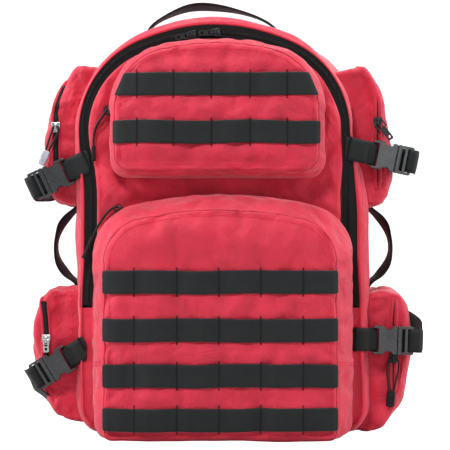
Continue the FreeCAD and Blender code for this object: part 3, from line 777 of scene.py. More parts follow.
def main_shell():
    """Rim, sides and back in one piece, open at the front inside the zip."""
    skin = Skin(GRID, GRID)
    for inset, y in ((9.6, FRONT_Y + 2.4), (8.6, FRONT_Y - 0.3), (7.4, FRONT_Y - 0.9),
                     (5.6, FRONT_Y - 0.3), (3.8, FRONT_Y + 1.9), (2.0, FRONT_Y + 5.6),
                     (0.8, FRONT_Y + 11.0), (0.2, FRONT_Y + 18.0)):
        skin.ring(body_ring(inset, y))
    steps = 14
    for n in range(1, steps + 1):
        y = FRONT_Y + 18.0 + (BACK_Y - 8.0 - FRONT_Y - 18.0) * n / steps
        inset = 1.4 * math.sin(math.pi * n / (steps + 1))
        skin.ring([p + Vector((0, wander(p, 30, 3) * 1.0, 0)) for p in body_ring(inset, y)])
    for inset, y in ((1.2, BACK_Y - 5.0), (3.8, BACK_Y - 1.8), (8.0, BACK_Y)):
        skin.ring(body_ring(inset, y))
    skin.cap()
    made = piece("shell_fabric", skin.points, skin.faces, "red_fabric", "pack", ["main_shell"])
    face_out(made)
    pins = {}
    for number, ring in enumerate(skin.rings):
        firm = 1.0 if number <= 5 or number >= len(skin.rings) - 4 else 0.0
        for index in ring:
            if firm or skin.points[index].z < 3:
                pins[index] = 1.0
    for index, point in enumerate(skin.points):
        if point.y > BACK_Y - 0.5:
            pins[index] = 1.0
    return settle_later(made, pins, 0.8, 0.015, 2.6)


shell = main_shell()


def panel_skin():
    """The opening front, from its folded edge inside the zip to a slack middle."""
    skin = Skin(GRID, GRID)
    for inset, y in ((23.4, PANEL_Y + 3.6), (23.6, PANEL_Y + 1.4), (24.6, PANEL_Y - 0.4),
                     (27.0, PANEL_Y - 1.2), (31.0, PANEL_Y - 1.3)):
        skin.ring(body_ring(inset, y))
    skin.cap(lambda u, v, p: Vector((0, -1.2 * swell(u, v) * (0.5 + wander(p, 45, 9)), 0)))
    made = piece("panel_fabric", skin.points, skin.faces, "red_fabric", "front_panel", ["front_panel"])
    face_out(made)
    pins = {i: 1.0 for ring in skin.rings[:4] for i in ring}
    for index, point in enumerate(skin.points):
        in_lower = abs(point.x) < 128 and point.z < 250
        in_upper = abs(point.x + 6) < 104 and 290 < point.z < 420
        if in_lower or in_upper:
            pins[index] = 1.0
    return settle_later(made, pins, 1.0, 0.03, 3.0)


panel = panel_skin()


# ---- Front pockets -------------------------------------------------------------------
ROW_HALF = 12.5                     # half the width of the load webbing
ROW_LANES, ROW_CELLS = 5, 90        # lines of points across a row, and cells along it
TACK_HALF, TACK_PITCH = 15.4, 0.8   # a bar tack's half length, and its stitches' pitch


class FrontPocket:
    """Base on the panel, zip round three sides, and a lid that turns about its lower edge."""

    def __init__(self, key, root, face, zip_low_z, tack_columns, row_heights, across, up):
        self.key, self.root, self.face, self.zip_low_z = key, root, face, zip_low_z
        self.columns, self.row_heights = tack_columns, row_heights
        self.across, self.up = across, up
        base_low, base_high = node_box(key + "_base")
        lid_low, lid_high = node_box(key + "_lid")
        self.base_front, self.base_back = base_low.y, base_high.y
        self.lid_y, self.face_y = lid_high.y, lid_low.y

    def root_ring(self, inset, y):
        return ring_of(self.root.sides(inset), y, self.across, self.up)

    def face_ring(self, inset, y):
        return ring_of(self.face.sides(inset), y, self.across, self.up)

    def make_base(self):
        skin = Skin(self.across, self.up)
        edge = self.base_front
        for inset, y in ((0.0, self.base_back + 0.8), (-0.4, self.base_back - 1.8), (0.0, edge + 1.0),
                         (1.0, edge - 0.9), (2.6, edge - 0.2), (3.0, edge + 2.2),
                         (4.0, self.base_back - 0.6)):
            skin.ring(self.root_ring(inset, y))
        skin.cap()
        return face_out(piece(self.key + "_base_fabric", skin.points, skin.faces, "red_fabric",
                              "front_panel", [self.key + "_base"]))

    def tacks(self):
        return [(x, z) for z in self.row_heights for x in self.columns]

    def make_lid(self, pressure, growth, limit):
        """Gusset and face in one skin, with the root's folded lip."""
        skin = Skin(self.across, self.up)
        lip = self.lid_y
        skin.ring(self.root_ring(3.4, lip - 1.6))
        skin.ring(self.root_ring(2.4, lip + 0.3))
        skin.ring(self.root_ring(0.9, lip + 0.6))
        near = self.face_y + 6.0
        root, face = self.root_ring(0.0, lip - 1.4), self.face_ring(0.0, near)
        steps = max(4, round((lip - near) / 4.6))
        for n in range(steps + 1):
            share = n / steps
            puff = 1.6 * math.sin(math.pi * share)
            ring = mixed(root, face, share)
            moved = []
            for p in ring:
                out = Vector((p.x - self.root.cx, 0, p.z - (self.root.z0 + self.root.z1) / 2)).normalized()
                crumple = 1.5 * wander((p.x, p.z * 0.4, p.y), 17, 4) * math.sin(math.pi * share)
                moved.append(p + out * (puff + crumple))
            seam = skin.ring(moved)
        skin.ring(self.face_ring(0.9, near - 2.4))
        skin.ring(self.face_ring(2.4, near - 4.2))

        def crown(u, v, p):
            puff = 3.0 * swell(u, v, 0.5)
            for z in self.row_heights:
                puff -= 1.3 * math.exp(-((p.z - z) / 11) ** 2)
            return Vector((0, -puff + 0.8 * wander(p, 24, 2), 0))

        skin.cap(crown)
        made = piece(self.key + "_lid_fabric", skin.points, skin.faces, "red_fabric",
                     self.key + "_lid", [self.key + "_lid"])
        face_out(made)
        pins = {i: 1.0 for ring in skin.rings[:4] for i in ring}
        for index in seam:
            pins[index] = 0.6
        for index, point in enumerate(skin.points):
            if point.z < self.root.z0 + 2:
                pins[index] = 1.0
            if point.y < near - 5 and any(abs(point.x - x) < 3.2 and abs(point.z - z) < 12
                                          for x, z in self.tacks()):
                pins[index] = 1.0
        self.lid = settle_later(made, pins, pressure, growth, limit)
        return self.lid

    # -- after the cloth has settled --
    def row_reach(self, z):
        """Half the width that a row covers at a height."""
        return self.face.half_width(max(z, self.face.z0 + self.face.base_r), -1.8)

    def row_lanes(self, tree, number, z):
        """Lines of places across the face, from a row's lower edge to its upper edge."""
        low, high = self.row_reach(z - ROW_HALF), self.row_reach(z + ROW_HALF)
        cx = self.face.cx
        lanes = []
        for k in range(ROW_LANES):
            share = k / (ROW_LANES - 1)
            lane_z = z - ROW_HALF + 2 * ROW_HALF * share
            x0, x1 = (a + (b - a) * share for a, b in ((cx - low, cx - high), (cx + low, cx + high)))
            line = []
            for i in range(ROW_CELLS + 1):
                x = x0 + (x1 - x0) * i / ROW_CELLS
                wave = 1.2 * wander((x, 0, z), 55, 5 + number)
                hit = laid(tree, (x, self.face_y - 60, lane_z), (0, 1, 0))
                line.append(Vector((x, hit.y if hit else self.face_y + 2, lane_z + wave)))
            lanes.append(line)
        return lanes

    def row_webbing(self, number, lanes):
        """One row of load webbing, pulled taut between its tacks."""
        count, reach = ROW_CELLS + 1, 2

        def around(values, i):
            return values[max(i - reach, 0):i + reach + 1]

        height = [min(lane[i].y for lane in lanes) for i in range(count)]
        pulled = [min(around(height, i)) for i in range(count)]
        taut = [sum(around(pulled, i)) / len(around(pulled, i)) for i in range(count)]
        points, thread, faces = [], [], []
        for layer in (0, 1):
            walls = grid_faces(ROW_LANES, count, first=len(points))
            faces += walls if layer else [face[::-1] for face in walls]
            for k, lane in enumerate(lanes):
                for i, place in enumerate(lane):
                    gap = min(abs(place.x - x) for x in self.columns)
                    lift = 0.25 + 0.9 * min(gap / 14.0, 1.0) ** 2 + (1.15 if layer else 0.0)
                    y = min(taut[i], place.y) * 0.75 + place.y * 0.25 - lift
                    if i < 2 or i > count - 3:
                        y += 0.7
                    points.append(Vector((place.x, y, place.z)))
                    thread.append((place.x, (k / (ROW_LANES - 1) - 0.5) * 2 * ROW_HALF))
        size, top = ROW_LANES * count, ROW_LANES - 1
        edge = ([k * count for k in range(ROW_LANES)] + [top * count + i for i in range(1, count)]
                + [k * count + count - 1 for k in range(top - 1, -1, -1)] + list(range(count - 2, 0, -1)))
        faces += [(a, b, b + size, a + size) for a, b in zip(edge, edge[1:] + edge[:1])]
        row = piece("%s_load_webbing_%d" % (self.key, number + 1), points, faces, "black_webbing",
                    self.key + "_lid", [self.key + "_webbing"], thread=thread)
        face_out(row)
        rounded(row)
        return row

    def make_rows(self):
        """Load webbing laid on the face, tacked at its columns, with satin-stitched bars."""
        tree = surface_of(self.lid)
        bars = []
        for number, z in enumerate(self.row_heights):
            row = self.row_webbing(number, self.row_lanes(tree, number, z))
            row_tree = surface_of(row)
            for x in self.columns:
                if abs(x - self.face.cx) > self.row_reach(z) - 6:
                    continue
                for step in range(int(2 * TACK_HALF / TACK_PITCH) + 1):
                    bar_z = z - TACK_HALF + step * TACK_PITCH
                    shift = 0.25 * (-1) ** step
                    ray = ((x, self.face_y - 60, bar_z), (0, 1, 0))
                    hit = laid(row_tree, *ray) or laid(tree, *ray)
                    if hit:
                        y = hit.y - 0.1 + 0.15
                        bars.append(((x - 0.7 + shift, y, bar_z), (x + 0.7 + shift, y, bar_z + 0.3), 0.34))
        beads(self.key + "_bar_tacks", bars, "black_thread", self.key + "_lid")

    def make_trim(self, stitch_inset):
        """Corded seam round the face, and its line of stitching."""
        tree = surface_of(self.lid)
        near = self.face_y + 6.0
        seam = []
        for p in ring_of(self.face.sides(0.2), near - 1.2, self.across * 2, self.up * 2):
            out = Vector((p.x - self.face.cx, 0, p.z - (self.face.z0 + self.face.z1) / 2)).normalized()
            inwards = (-out * 0.8 + Vector((0, 0.6, 0))).normalized()
            hit = laid(tree, p + out * 25 - Vector((0, 18, 0)), inwards)
            seam.append(hit if hit else p)
        piping(self.key + "_face_piping", relaxed(seam), 1.25, "red_binding", self.key + "_lid",
               closed=True)
        bars = []
        for inset in stitch_inset:
            line = []
            for p in ring_of(self.face.sides(inset), near, self.across * 2, self.up * 2):
                hit = laid(tree, (p.x, self.face_y - 60, p.z), (0, 1, 0))
                if hit and not any(abs(p.z - z) < 13 for z in self.row_heights):
                    line.append(hit + Vector((0, -0.12, 0)))
                else:
                    bars += stitch_bars(line)
                    line = []
            bars += stitch_bars(line)
        beads(self.key + "_face_stitches", bars, "red_thread", self.key + "_lid")

    def make_zip(self):
        """Tape under the lid's lip and a coil between the two lips, on the panel's side."""
        y0, y1 = self.base_front, self.lid_y
        line = [(p, Vector((0, 1, 0))) for p in self.open_line(1.3, (y0 + y1) / 2)]
        strip(self.key + "_zip_tape", line, y0 - y1 + 0.6, 0.9, "zip_tape", "front_panel", lanes=2)
        outer = self.open_line(0.7, (y0 + y1) / 2)
        bars = []
        for n, (p, _) in enumerate(walk(outer, 1.7)):
            reach = 1.3 if n % 2 else -1.3
            bars.append((p + Vector((0, reach, 0)), p - Vector((0, reach * 0.6, 0)), 0.55))
        beads(self.key + "_zip_coil", bars, "zip_coil", "front_panel", ["front_pocket_zips"])

    def open_line(self, inset, y):
        """The root's outline above the zip's ends, from the left end over the top to the right end."""
        sides = self.root.sides(inset)
        line = [p for side in (sides[1], sides[2], sides[3]) for p in side]
        return [Vector((x, y, z)) for x, z in line if z > self.zip_low_z]

    def make_hinge(self):
        """The strip of fabric along the bottom that the lid turns on."""
        half = self.root.half_w - self.root.base_r
        z, count = self.root.z0, 40
        rows = ((self.base_front + 1.5, 0.9), (self.base_front - 1.0, 0.1),
                ((self.base_front + self.lid_y) / 2, -0.2),
                (self.lid_y + 1.0, 0.1), (self.lid_y - 2.5, 0.9))
        points = [Vector((self.root.cx - half + 2 * half * i / count, y, z + drop))
                  for y, drop in rows for i in range(count + 1)]
        made = piece(self.key + "_hinge_strip", points, grid_faces(len(rows), count + 1), "red_binding")
        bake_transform(made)


root_low, root_high = node_box("lower_pocket_base")
LOWER = FrontPocket(
    "lower_pocket", zip_low_z=24.0,
    root=Arch(root_high.x, root_low.z, root_high.z, 55.0, 420.0, 14.0),
    face=Arch(122.5, 2.0, 245.0, 48.0, 380.0, 8.0, cx=-3.0),
    tack_columns=[-93.5, -48.5, -4.5, 39.5, 84.0], row_heights=[169.0, 118.5, 70.5, 24.5],
    across=54, up=54)
root_low, root_high = node_box("upper_pocket_base")
UPPER_CX = (root_low.x + root_high.x) / 2
UPPER = FrontPocket(
    "upper_pocket", zip_low_z=300.0,
    root=Arch((root_high.x - root_low.x) / 2, root_low.z, root_high.z, 72.0, 290.0, 18.0, cx=UPPER_CX),
    face=Arch(109.0, 287.0, 423.0, 66.0, 280.0, 18.0, cx=UPPER_CX - 1.0),
    tack_columns=[-91.5, -53.0, -12.5, 28.5, 68.0], row_heights=[379.0, 328.0],
    across=48, up=32)
for pocket, pressure in ((LOWER, 3.5), (UPPER, 3.0)):
    pocket.make_base()
    pocket.make_lid(pressure, 0.03, 5.0)


# ---- Side pockets --------------------------------------------------------------------
class SidePocket:
    """A stuffed bag on the body's side. outer gives (x out, z) from its lower root to its upper root."""

    across, up = 28, 38

    def __init__(self, key, side, zip_x, valley, outer):
        self.key, self.side, self.zip_x, self.valley = key, side, zip_x, valley
        low, high = node_box("side_pocket_" + key)
        self.front, self.back = low.y, high.y
        z_low, z_high = outer[0][1], outer[-1][1]
        heights = [z_high + (z_low - z_high) * n / 12 for n in range(13)]
        inner = [(BODY.half_width(z, 1.5), z) for z in heights]
        line = [(BODY.half_w + out, z) for out, z in outer]
        for _ in range(3):                  # the corners are cut three times, which rounds them
            line = [line[0]] + [tuple(p + (q - p) * t for p, q in zip(a, b))
                                for a, b in zip(line, line[1:]) for t in (0.25, 0.75)] + [line[-1]]
        quarter = len(line) // 4
        self.sides = [[inner[-1]] + line[:quarter], line[quarter - 1:-quarter],
                      line[-quarter - 1:] + [inner[0]], inner]

    def ring(self, inset, y):
        points = ring_of(self.sides, y, self.across, self.up)
        n = len(points)
        moved = []
        for i, p in enumerate(points):
            along = points[(i + 1) % n] - points[i - 1]
            inward = Vector((-along.z, 0, along.x)).normalized()
            on_body = abs(p.x - BODY.half_width(p.z, 1.5)) < 0.6
            moved.append(p if on_body and inset > 0 else p + inward * inset)
        if inset > 3:
            moved = relaxed(moved)
        return [Vector((p.x * self.side, p.y, p.z)) for p in moved]

    def beside_body(self, p):
        """The pocket's inner edge is carried along by the drawn-in side of the body."""
        near = 1 - ease(abs(p.x) - BODY.half_width(p.z, 0.0), 0, 14)
        return p + (drawn(p, 0.0) - p) * near

    def make(self):
        skin = Skin(self.across, self.up)
        front, back = self.front, self.back
        profile = [(6.0, front + 0.2), (3.4, front + 0.6), (1.4, front + 2.4), (0.2, front + 6.0)]
        steps = 12
        for n in range(1, steps):
            y = front + 6.0 + (back - front - 12.0) * n / steps
            profile.append((-1.8 * math.sin(math.pi * n / steps), y))
        profile += [(0.2, back - 6.0), (1.6, back - 2.0), (5.0, back)]
        for inset, y in profile:
            ring = self.ring(inset, y)
            if front + 7 < y < back - 7:
                ring = [p + Vector((self.side * 1.6 * wander((p.x, p.z * 0.6, p.y), 15, 6), 0,
                                    1.2 * wander(p, 22, 8))) for p in ring]
            skin.ring([self.beside_body(p) for p in ring])

        def crown(u, v, p):
            fold = 1.4 * wander((p.x, p.y, p.z * 0.45), 13, 7)
            off = abs(p.x) - self.zip_x
            fall = self.valley * (1 - math.exp(off / 12.0)) if off < 0 else 3.5 * (1 - math.exp(-off / 8.0))
            return Vector((0, (fall - 0.8 + fold) * swell(u, v, 0.6), 0))

        skin.cap(crown, first=True)
        skin.cap()
        made = piece("side_pocket_%s_fabric" % self.key, skin.points, skin.faces, "red_fabric", "pack",
                     ["side_pocket_" + self.key])
        face_out(made)
        pins = {}
        for index, p in enumerate(skin.points):
            if abs(p.x) < BODY.half_width(p.z, 0.0) + 2.5 or p.y > back - 1:
                pins[index] = 1.0
        for index in skin.rings[1]:
            pins[index] = max(pins.get(index, 0), 0.55)
        self.fabric = settle_later(made, pins, 2.2, 0.035, 4.5)
        return made


SIDE_POCKETS = {
    "upper_left": SidePocket("upper_left", -1, 184.0, 3.0, [
        (-2, 253), (18, 252), (31, 268), (34, 298), (34, 326), (25, 352), (15, 378), (6, 398),
        (-2, 404), (-24, 402)]),
    "upper_right": SidePocket("upper_right", 1, 170.0, 11.0, [
        (-2, 250), (12, 250), (19, 264), (23, 294), (21, 326), (15, 356), (8, 384), (-1, 399),
        (-9, 405), (-24, 396)]),
    "lower_left": SidePocket("lower_left", -1, 194.5, 2.0, [
        (-2, 11), (20, 18), (38, 50), (45, 92), (46, 122), (39, 146), (26, 158), (-2, 158)]),
    "lower_right": SidePocket("lower_right", 1, 187.0, 4.0, [
        (-2, 2), (10, 2), (30, 28), (43, 66), (43, 116), (38, 146), (29, 156), (-2, 154)]),
}
for pocket in SIDE_POCKETS.values():
    pocket.make()


# ---- Back pads and shoulder straps ---------------------------------------------------
def pad_block(name, x0, x1, z0, z1, y0, y1):
    """A crowned pad on the back, with its edge drawn in."""
    corner, across, up = 16.0, 20, 30
    shape = Arch((x1 - x0) / 2, z0, z1, corner, 900.0, corner, cx=(x0 + x1) / 2)
    skin = Skin(across, up)
    depth = y1 - y0
    for inset, share in ((0.0, 0.02), (-0.6, 0.22), (0.4, 0.5), (2.6, 0.74), (6.0, 0.9)):
        skin.ring(ring_of(shape.sides(inset), y0 + depth * share, across, up))
    skin.cap(lambda u, v, p: Vector((0, depth * 0.16 * swell(u, v, 0.45) + 0.4 * wander(p, 20, 1), 0)))
    made = face_out(piece(name, skin.points, skin.faces, "spacer_mesh", "pack", ["back_panel"]))
    rounded(made)


back_low, back_high = node_box("back_panel")


def back_pads():
    y0, y1 = back_low.y, back_high.y
    gap = 9.0
    for name, x0, x1, z0, z1 in (("back_pad_left", back_low.x, -gap, 128, back_high.z),
                                 ("back_pad_right", gap, back_high.x, 128, back_high.z),
                                 ("lumbar_pad", back_low.x + 16, back_high.x - 16, back_low.z, 112)):
        pad_block(name, x0, x1, z0, z1, y0 + 0.4, y1 - 0.6)


back_pads()


def strap_frame(side):
    """Local frame of a shoulder strap: x from its top to its bottom anchor, y across, z off the back."""
    swing = joint("shoulder_strap_%s_swing" % side)
    x, z = Vector(swing["axis"]).normalized(), Vector((0, 1, 0))
    return frame_at(x, z.cross(x), z, Vector(swing["pos_m"]) / MM)


PAD_ROUTE = [(12, 22), (24, 38), (60, 50), (105, 55.5), (150, 54.5), (190, 50), (248, 36)]


STRAP_SPAN = math.dist((50.0, 436.0), (132.0, 26.0))       # between a strap's two anchors
PAD_LANES = 22


def pad_half_width(share):
    return 24 + 7 * min(1.0, share * 4) - 5 * max(0.0, share - 0.7) / 0.3


def shoulder_pad(side, place, line):
    """The stuffed pad, with a sewn channel along each edge and rounded ends."""
    points = []
    for i, p in enumerate(line):
        before, after = line[max(i - 1, 0)], line[min(i + 1, len(line) - 1)]
        along = (after - before).normalized()
        up = Vector((-along.z, 0, along.x))
        share = i / (len(line) - 1)
        ends = min(1.0, share / 0.05, (1 - share) / 0.04) ** 0.5
        width = pad_half_width(share) * (0.75 + 0.25 * ends)
        for k in range(PAD_LANES):
            a = 2 * math.pi * k / PAD_LANES
            c, s = math.cos(a), math.sin(a)
            y = width * math.copysign(abs(c) ** 0.75, c)
            edge = abs(y) / width
            thick = 6.2 * math.copysign(abs(s) ** 0.7, s) * (1 - 0.35 * edge ** 6) * (0.45 + 0.55 * ends)
            channel = 0.8 * math.exp(-((edge - 0.78) / 0.06) ** 2)
            points.append(place @ (p + Vector((0, y, 0)) + up * (thick - math.copysign(channel, s))))
    faces = tube_faces(len(line), PAD_LANES) + end_caps(len(line), PAD_LANES)
    pad = face_out(piece("shoulder_pad_%s_fabric" % side, points, faces, "black_canvas",
                         "shoulder_strap_" + side, ["shoulder_pad_" + side]))
    rounded(pad)
    return pad


def shoulder_strap(side):
    place = strap_frame(side)
    along, across, off = (place.to_3x3() @ Vector(axis) for axis in ((1, 0, 0), (0, 1, 0), (0, 0, 1)))
    body = "shoulder_strap_" + side
    line = smooth_line([(x, 0, z) for x, z in PAD_ROUTE], 44)
    tree = surface_of(shoulder_pad(side, place, line))
    rows = []
    for p in line[4:-3]:
        hit = laid(tree, place @ (p + Vector((0, 0, 30))), -off)
        if hit:
            rows.append((hit + Vector((0, 0.9, 0)), across))
    strip(body + "_facing", rows, 25, 1.5, "black_webbing", body)
    bars = []
    for p, _ in rows[2::4]:
        for n in range(30):
            at = p + across * (-12 + n * 0.82) + Vector((0, 0.75, 0))
            bars.append((at - along, at + along, 0.35))
    beads(body + "_tacks", bars, "black_thread", body)
    for sign, edge_name in ((1, "inner"), (-1, "outer")):
        rim = []
        for i, p in enumerate(line[1:-1]):
            width = pad_half_width((i + 1) / (len(line) - 1))
            rim.append((place @ (p + Vector((0, sign * (width + 0.2), 0))), off))
        strip("%s_binding_%s" % (body, edge_name), rim, 8.5, 1.9, "black_webbing", body, lanes=3)

    def web(part, route, count, width, thickness, on, replaces=()):
        """Webbing through (along, off the back) places in the strap's own frame."""
        middle = smooth_line([(x, 0, z) for x, z in route], count)
        return strip(body + "_" + part, [(place @ p, across) for p in middle], width, thickness,
                     "black_webbing", on, replaces)

    def bend(made, start, end):
        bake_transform(made)

    neck = web("neck", [(0, -2.2), (1.5, 3.5), (9, 9), (18, 27)], 14, 27, 2.6, None)
    bend(neck, (0, 0, -2.0), (6, 0, 12.0))
    web("tab", [(-16, -1.6), (-6, -1.8), (1.5, -1.4)], 6, 30, 1.8, "pack")
    web("ladder_web", [(236, 38), (250, 34.5), (258, 33.6), (262, 30.0)], 10, 24.5, 1.6, body)
    lower = web("web", [(262, 35.5), (272, 33.0), (281, 27.5), (312, 19.5), (345, 13), (396, 6),
                        (STRAP_SPAN - 3, 3.0), (STRAP_SPAN + 4, -0.6)],
                40, 24.5, 1.7, None, ["shoulder_webbing_" + side])
    bend(lower, (STRAP_SPAN, 0, 0), (STRAP_SPAN - 20, 0, 4))
    web("foot", [(STRAP_SPAN - 6, -1.6), (STRAP_SPAN + 6, -1.8), (STRAP_SPAN + 14, -1.8)],
        6, 32, 1.8, "pack")


for side in ("left", "right"):
    shoulder_strap(side)


# ---- The cloth settles, and what lies on it follows --------------------------------------
settle_all()


def shell_free(p):
    return (ease(p.y, FRONT_Y + 4, FRONT_Y + 26) * (1 - ease(p.y, BACK_Y - 16, BACK_Y - 6))
            * ease(p.z, 2, 30))


def panel_free(p):
    edge = BODY.half_width(p.z, 27.0) - abs(p.x)
    return ease(edge, 0, 12) * ease(p.z, 8, 40) * ease(BODY.z1 - 27 - p.z, 0, 12)


def lid_free(pocket):
    def free(p):
        if p.y > pocket.face_y + 7:
            return (ease(pocket.lid_y - p.y, 3, 12)
                    * ease(p.y, pocket.face_y + 4, pocket.face_y + 14)
                    * ease(p.z, pocket.root.z0 + 2, pocket.root.z0 + 20))
        near = min(abs(p.z - z) for z in pocket.row_heights)
        edge = pocket.face.half_width(p.z, 0.0) - abs(p.x - pocket.face.cx)
        return ease(near, 9, 17) * ease(edge, 0, 12) * ease(pocket.face.z1 - p.z, 2, 12)
    return free


GUSSET_SEAM = (87.0, -0.12)         # height at the face, and slope towards the zip


def gusset_seam(pocket, z, slope):
    """A seam across both sides of a lid's gusset, drawn in, with the fabric fuller below it."""
    for vertex in pocket.lid.data.vertices:
        p = vertex.co / MM
        if p.y < pocket.face_y + 5 or abs(p.x - pocket.root.cx) < pocket.face.half_w - 8:
            continue
        off = p.z - (z + slope * (p.y - pocket.face_y))
        move = -1.6 * math.exp(-(off / 3.5) ** 2) + 1.6 * math.exp(-((off + 11) / 8) ** 2)
        vertex.co.x += math.copysign(move, p.x) * MM
    pocket.lid.data.update()


def gusset_stitches(pocket, z, slope):
    """Two rows of stitching under the gusset's seam, on both sides."""
    tree = surface_of(pocket.lid)
    bars = []
    for side in (1, -1):
        for drop in (1.6, 4.6):
            line = []
            for n in range(24):
                y = pocket.face_y + 8 + (pocket.lid_y - pocket.face_y - 10) * n / 23
                hit = laid(tree, (side * 240, y, z - drop + slope * (y - pocket.face_y)), (-side, 0, 0))
                if hit:
                    line.append(hit + Vector((side * 0.12, 0, 0)))
            bars += stitch_bars(line)
    beads(pocket.key + "_gusset_stitches", bars, "red_thread", pocket.key + "_lid")


crumple(shell, 4.5, 52.0, lean=(1.0, 0.8, 1.5), hold=shell_free, seed=3.0)
crumple(panel, 3.5, 34.0, lean=(1.4, 1.0, 0.8), hold=panel_free, seed=7.0)
for number, pocket in enumerate((LOWER, UPPER)):
    crumple(pocket.lid, 2.4, 30.0, lean=(1.9, 1.0, 0.8), hold=lid_free(pocket), seed=2.0 + number)
for number, pocket in enumerate(SIDE_POCKETS.values()):
    crumple(pocket.fabric, 5.0, 26.0, lean=(0.8, 0.9, 1.7), seed=5.0 + 3 * number,
            hold=lambda p: ease(abs(p.x) - BODY.half_width(p.z, 0.0), 2, 16) * (1 - ease(p.y, 40, 50)))
gusset_seam(LOWER, *GUSSET_SEAM)
crease(panel, [
    (-140, 296, -104, 262, 3.6, 6), (-132, 306, -96, 272, -3.4, 5), (-122, 258, -60, 276, 2.6, 6),
    (-60, 274, 20, 268, -2.4, 6), (64, 268, 120, 300, 3.8, 6), (78, 262, 126, 278, -3.6, 5),
    (92, 276, 126, 322, -3.2, 5), (104, 300, 122, 372, 2.8, 5), (-140, 330, -124, 404, 2.8, 5),
    (30, 266, 92, 260, 2.6, 6), (100, 250, 128, 262, 2.4, 4), (-134, 250, -112, 262, -2.4, 4)])
crease(LOWER.lid, [
    (-70, 236, 60, 238, -1.6, 7), (-96, 206, -20, 224, 1.7, 8), (-10, 214, 86, 206, 1.8, 9),
    (-80, 194, 30, 196, -1.4, 7), (70, 190, 108, 220, -1.7, 6), (-108, 150, -60, 146, 1.4, 5),
    (20, 142, 80, 146, -1.4, 5), (-40, 96, 30, 92, 1.4, 6), (60, 92, 110, 98, 1.5, 5),
    (-100, 48, -40, 44, 1.5, 5), (10, 46, 70, 50, -1.4, 6)])
crease(UPPER.lid, [
    (-70, 408, 40, 410, -1.6, 6), (-50, 398, 60, 400, 1.7, 7), (-98, 312, 76, 308, 2.4, 8),
    (-96, 296, 84, 295, -3.0, 5), (-60, 354, 0, 352, 1.6, 6), (30, 352, 84, 356, 1.5, 5),
    (-112, 300, -80, 292, -2.0, 4), (60, 306, 96, 298, -2.0, 4)])
for made in [shell, panel, LOWER.lid, UPPER.lid] + [pocket.fabric for pocket in SIDE_POCKETS.values()]:
    for vertex in made.data.vertices:
        vertex.co.z = max(vertex.co.z, FLOOR_GAP * MM)
for pocket in SIDE_POCKETS.values():
    for vertex in pocket.fabric.data.vertices:
        beside = abs(abs(vertex.co.x) / MM - pocket.zip_x)
        if beside < 10:
            vertex.co.y = max(vertex.co.y, (pocket.front - 0.6) * MM)
thicken(shell, 2.2)
thicken(panel, 2.6)
for pocket in (LOWER, UPPER):
    thicken(pocket.lid, 1.8)
for pocket in SIDE_POCKETS.values():
    rounded(pocket.fabric)
gusset_stitches(LOWER, *GUSSET_SEAM)
for pocket in (LOWER, UPPER):
    pocket.make_rows()
    pocket.make_trim([6.0])
    pocket.make_zip()
    pocket.make_hinge()


# ---- Main zip ------------------------------------------------------------------------
def body_line(inset, y, low_z):
    """The body's outline above a height, from right to left over the crown."""
    sides = BODY.sides(inset)
    line = [p for n in (1, 2, 3) for p in sides[n]]
    dense = resample(line, 260) + [line[-1]]
    return [drawn(Vector((x, y, z)), inset) for x, z in dense if z > low_z]


def main_zip():
    """Two tapes and two rows of teeth that mesh between them."""
    for key, a, b, body, sign in (("rear", ZIP_OUTER - 6.0, ZIP_MIDDLE - 0.2, "pack", 1),
                                  ("front", ZIP_MIDDLE + 0.2, ZIP_INNER + 2.4, "front_panel", -1)):
        middle, outside = (body_line(inset, FRONT_Y + 0.55, ZIP_END_Z) for inset in ((a + b) / 2, a))
        line = [(p, Vector(((q - p).x, 0, (q - p).z))) for p, q in zip(middle, outside)]
        strip("main_zip_%s_tape" % key, line, b - a, 0.9, "zip_tape", body, ["main_zip_tape_" + key])
        bars = []
        teeth = walk(body_line(ZIP_MIDDLE, FRONT_Y + 0.05, ZIP_END_Z + 1), 1.05)
        for p, along in teeth[0 if key == "rear" else 1::2]:
            out = Vector((along.z, 0, -along.x)) * sign
            bars.append((p + out * 2.3, p - out * 0.9, 0.46))
        beads("main_zip_%s_coil" % key, bars, "zip_coil", body, sides=6)


main_zip()


def panel_gusset():
    """Fabric that joins the rim and the panel below the ends of the zip, round the bottom."""
    rings = [body_ring(inset, FRONT_Y + y) for inset, y in
             ((7.4, 1.8), (9.6, 0.7), (13.6, 0.2), (18.0, -0.6), (21.6, -0.9), (23.8, -1.6), (25.8, -2.9))]
    count = len(rings[0])
    top = ZIP_END_Z + 1.5
    keep = {i for i in range(count) if rings[3][i].z < top - 1}
    first = next(i for i in sorted(keep) if (i - 1) % count not in keep)
    order = [(first - 1 + n) % count for n in range(len(keep) + 2)]
    for ring in rings:
        for end in (order[0], order[-1]):
            ring[end].z = top
    points = [ring[i] for ring in rings for i in order]
    made = piece("panel_gusset", points, grid_faces(len(rings), len(order)), "red_fabric")
    face_out(made)
    rounded(made)
    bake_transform(made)


panel_gusset()


# ---- Inside the back -----------------------------------------------------------------
def inside_sheet(name, node, material, corner, crown_y):
    low, high = node_box(node)
    shape = Arch((high.x - low.x) / 2, low.z, high.z, corner, 1200.0, corner)
    skin = Skin(22, 30)
    for inset, y in ((3.0, high.y), (0.4, high.y), (0.0, (low.y + high.y) / 2), (0.6, low.y + 0.3),
                     (3.0, low.y)):
        skin.ring(ring_of(shape.sides(inset), y, 22, 30))
    skin.cap(lambda u, v, p: Vector((0, -crown_y * swell(u, v) * (0.6 + 0.5 * wander(p, 60, 3)), 0)))
    skin.cap(first=True)
    return face_out(piece(name, skin.points, skin.faces, material, "pack", [node]))


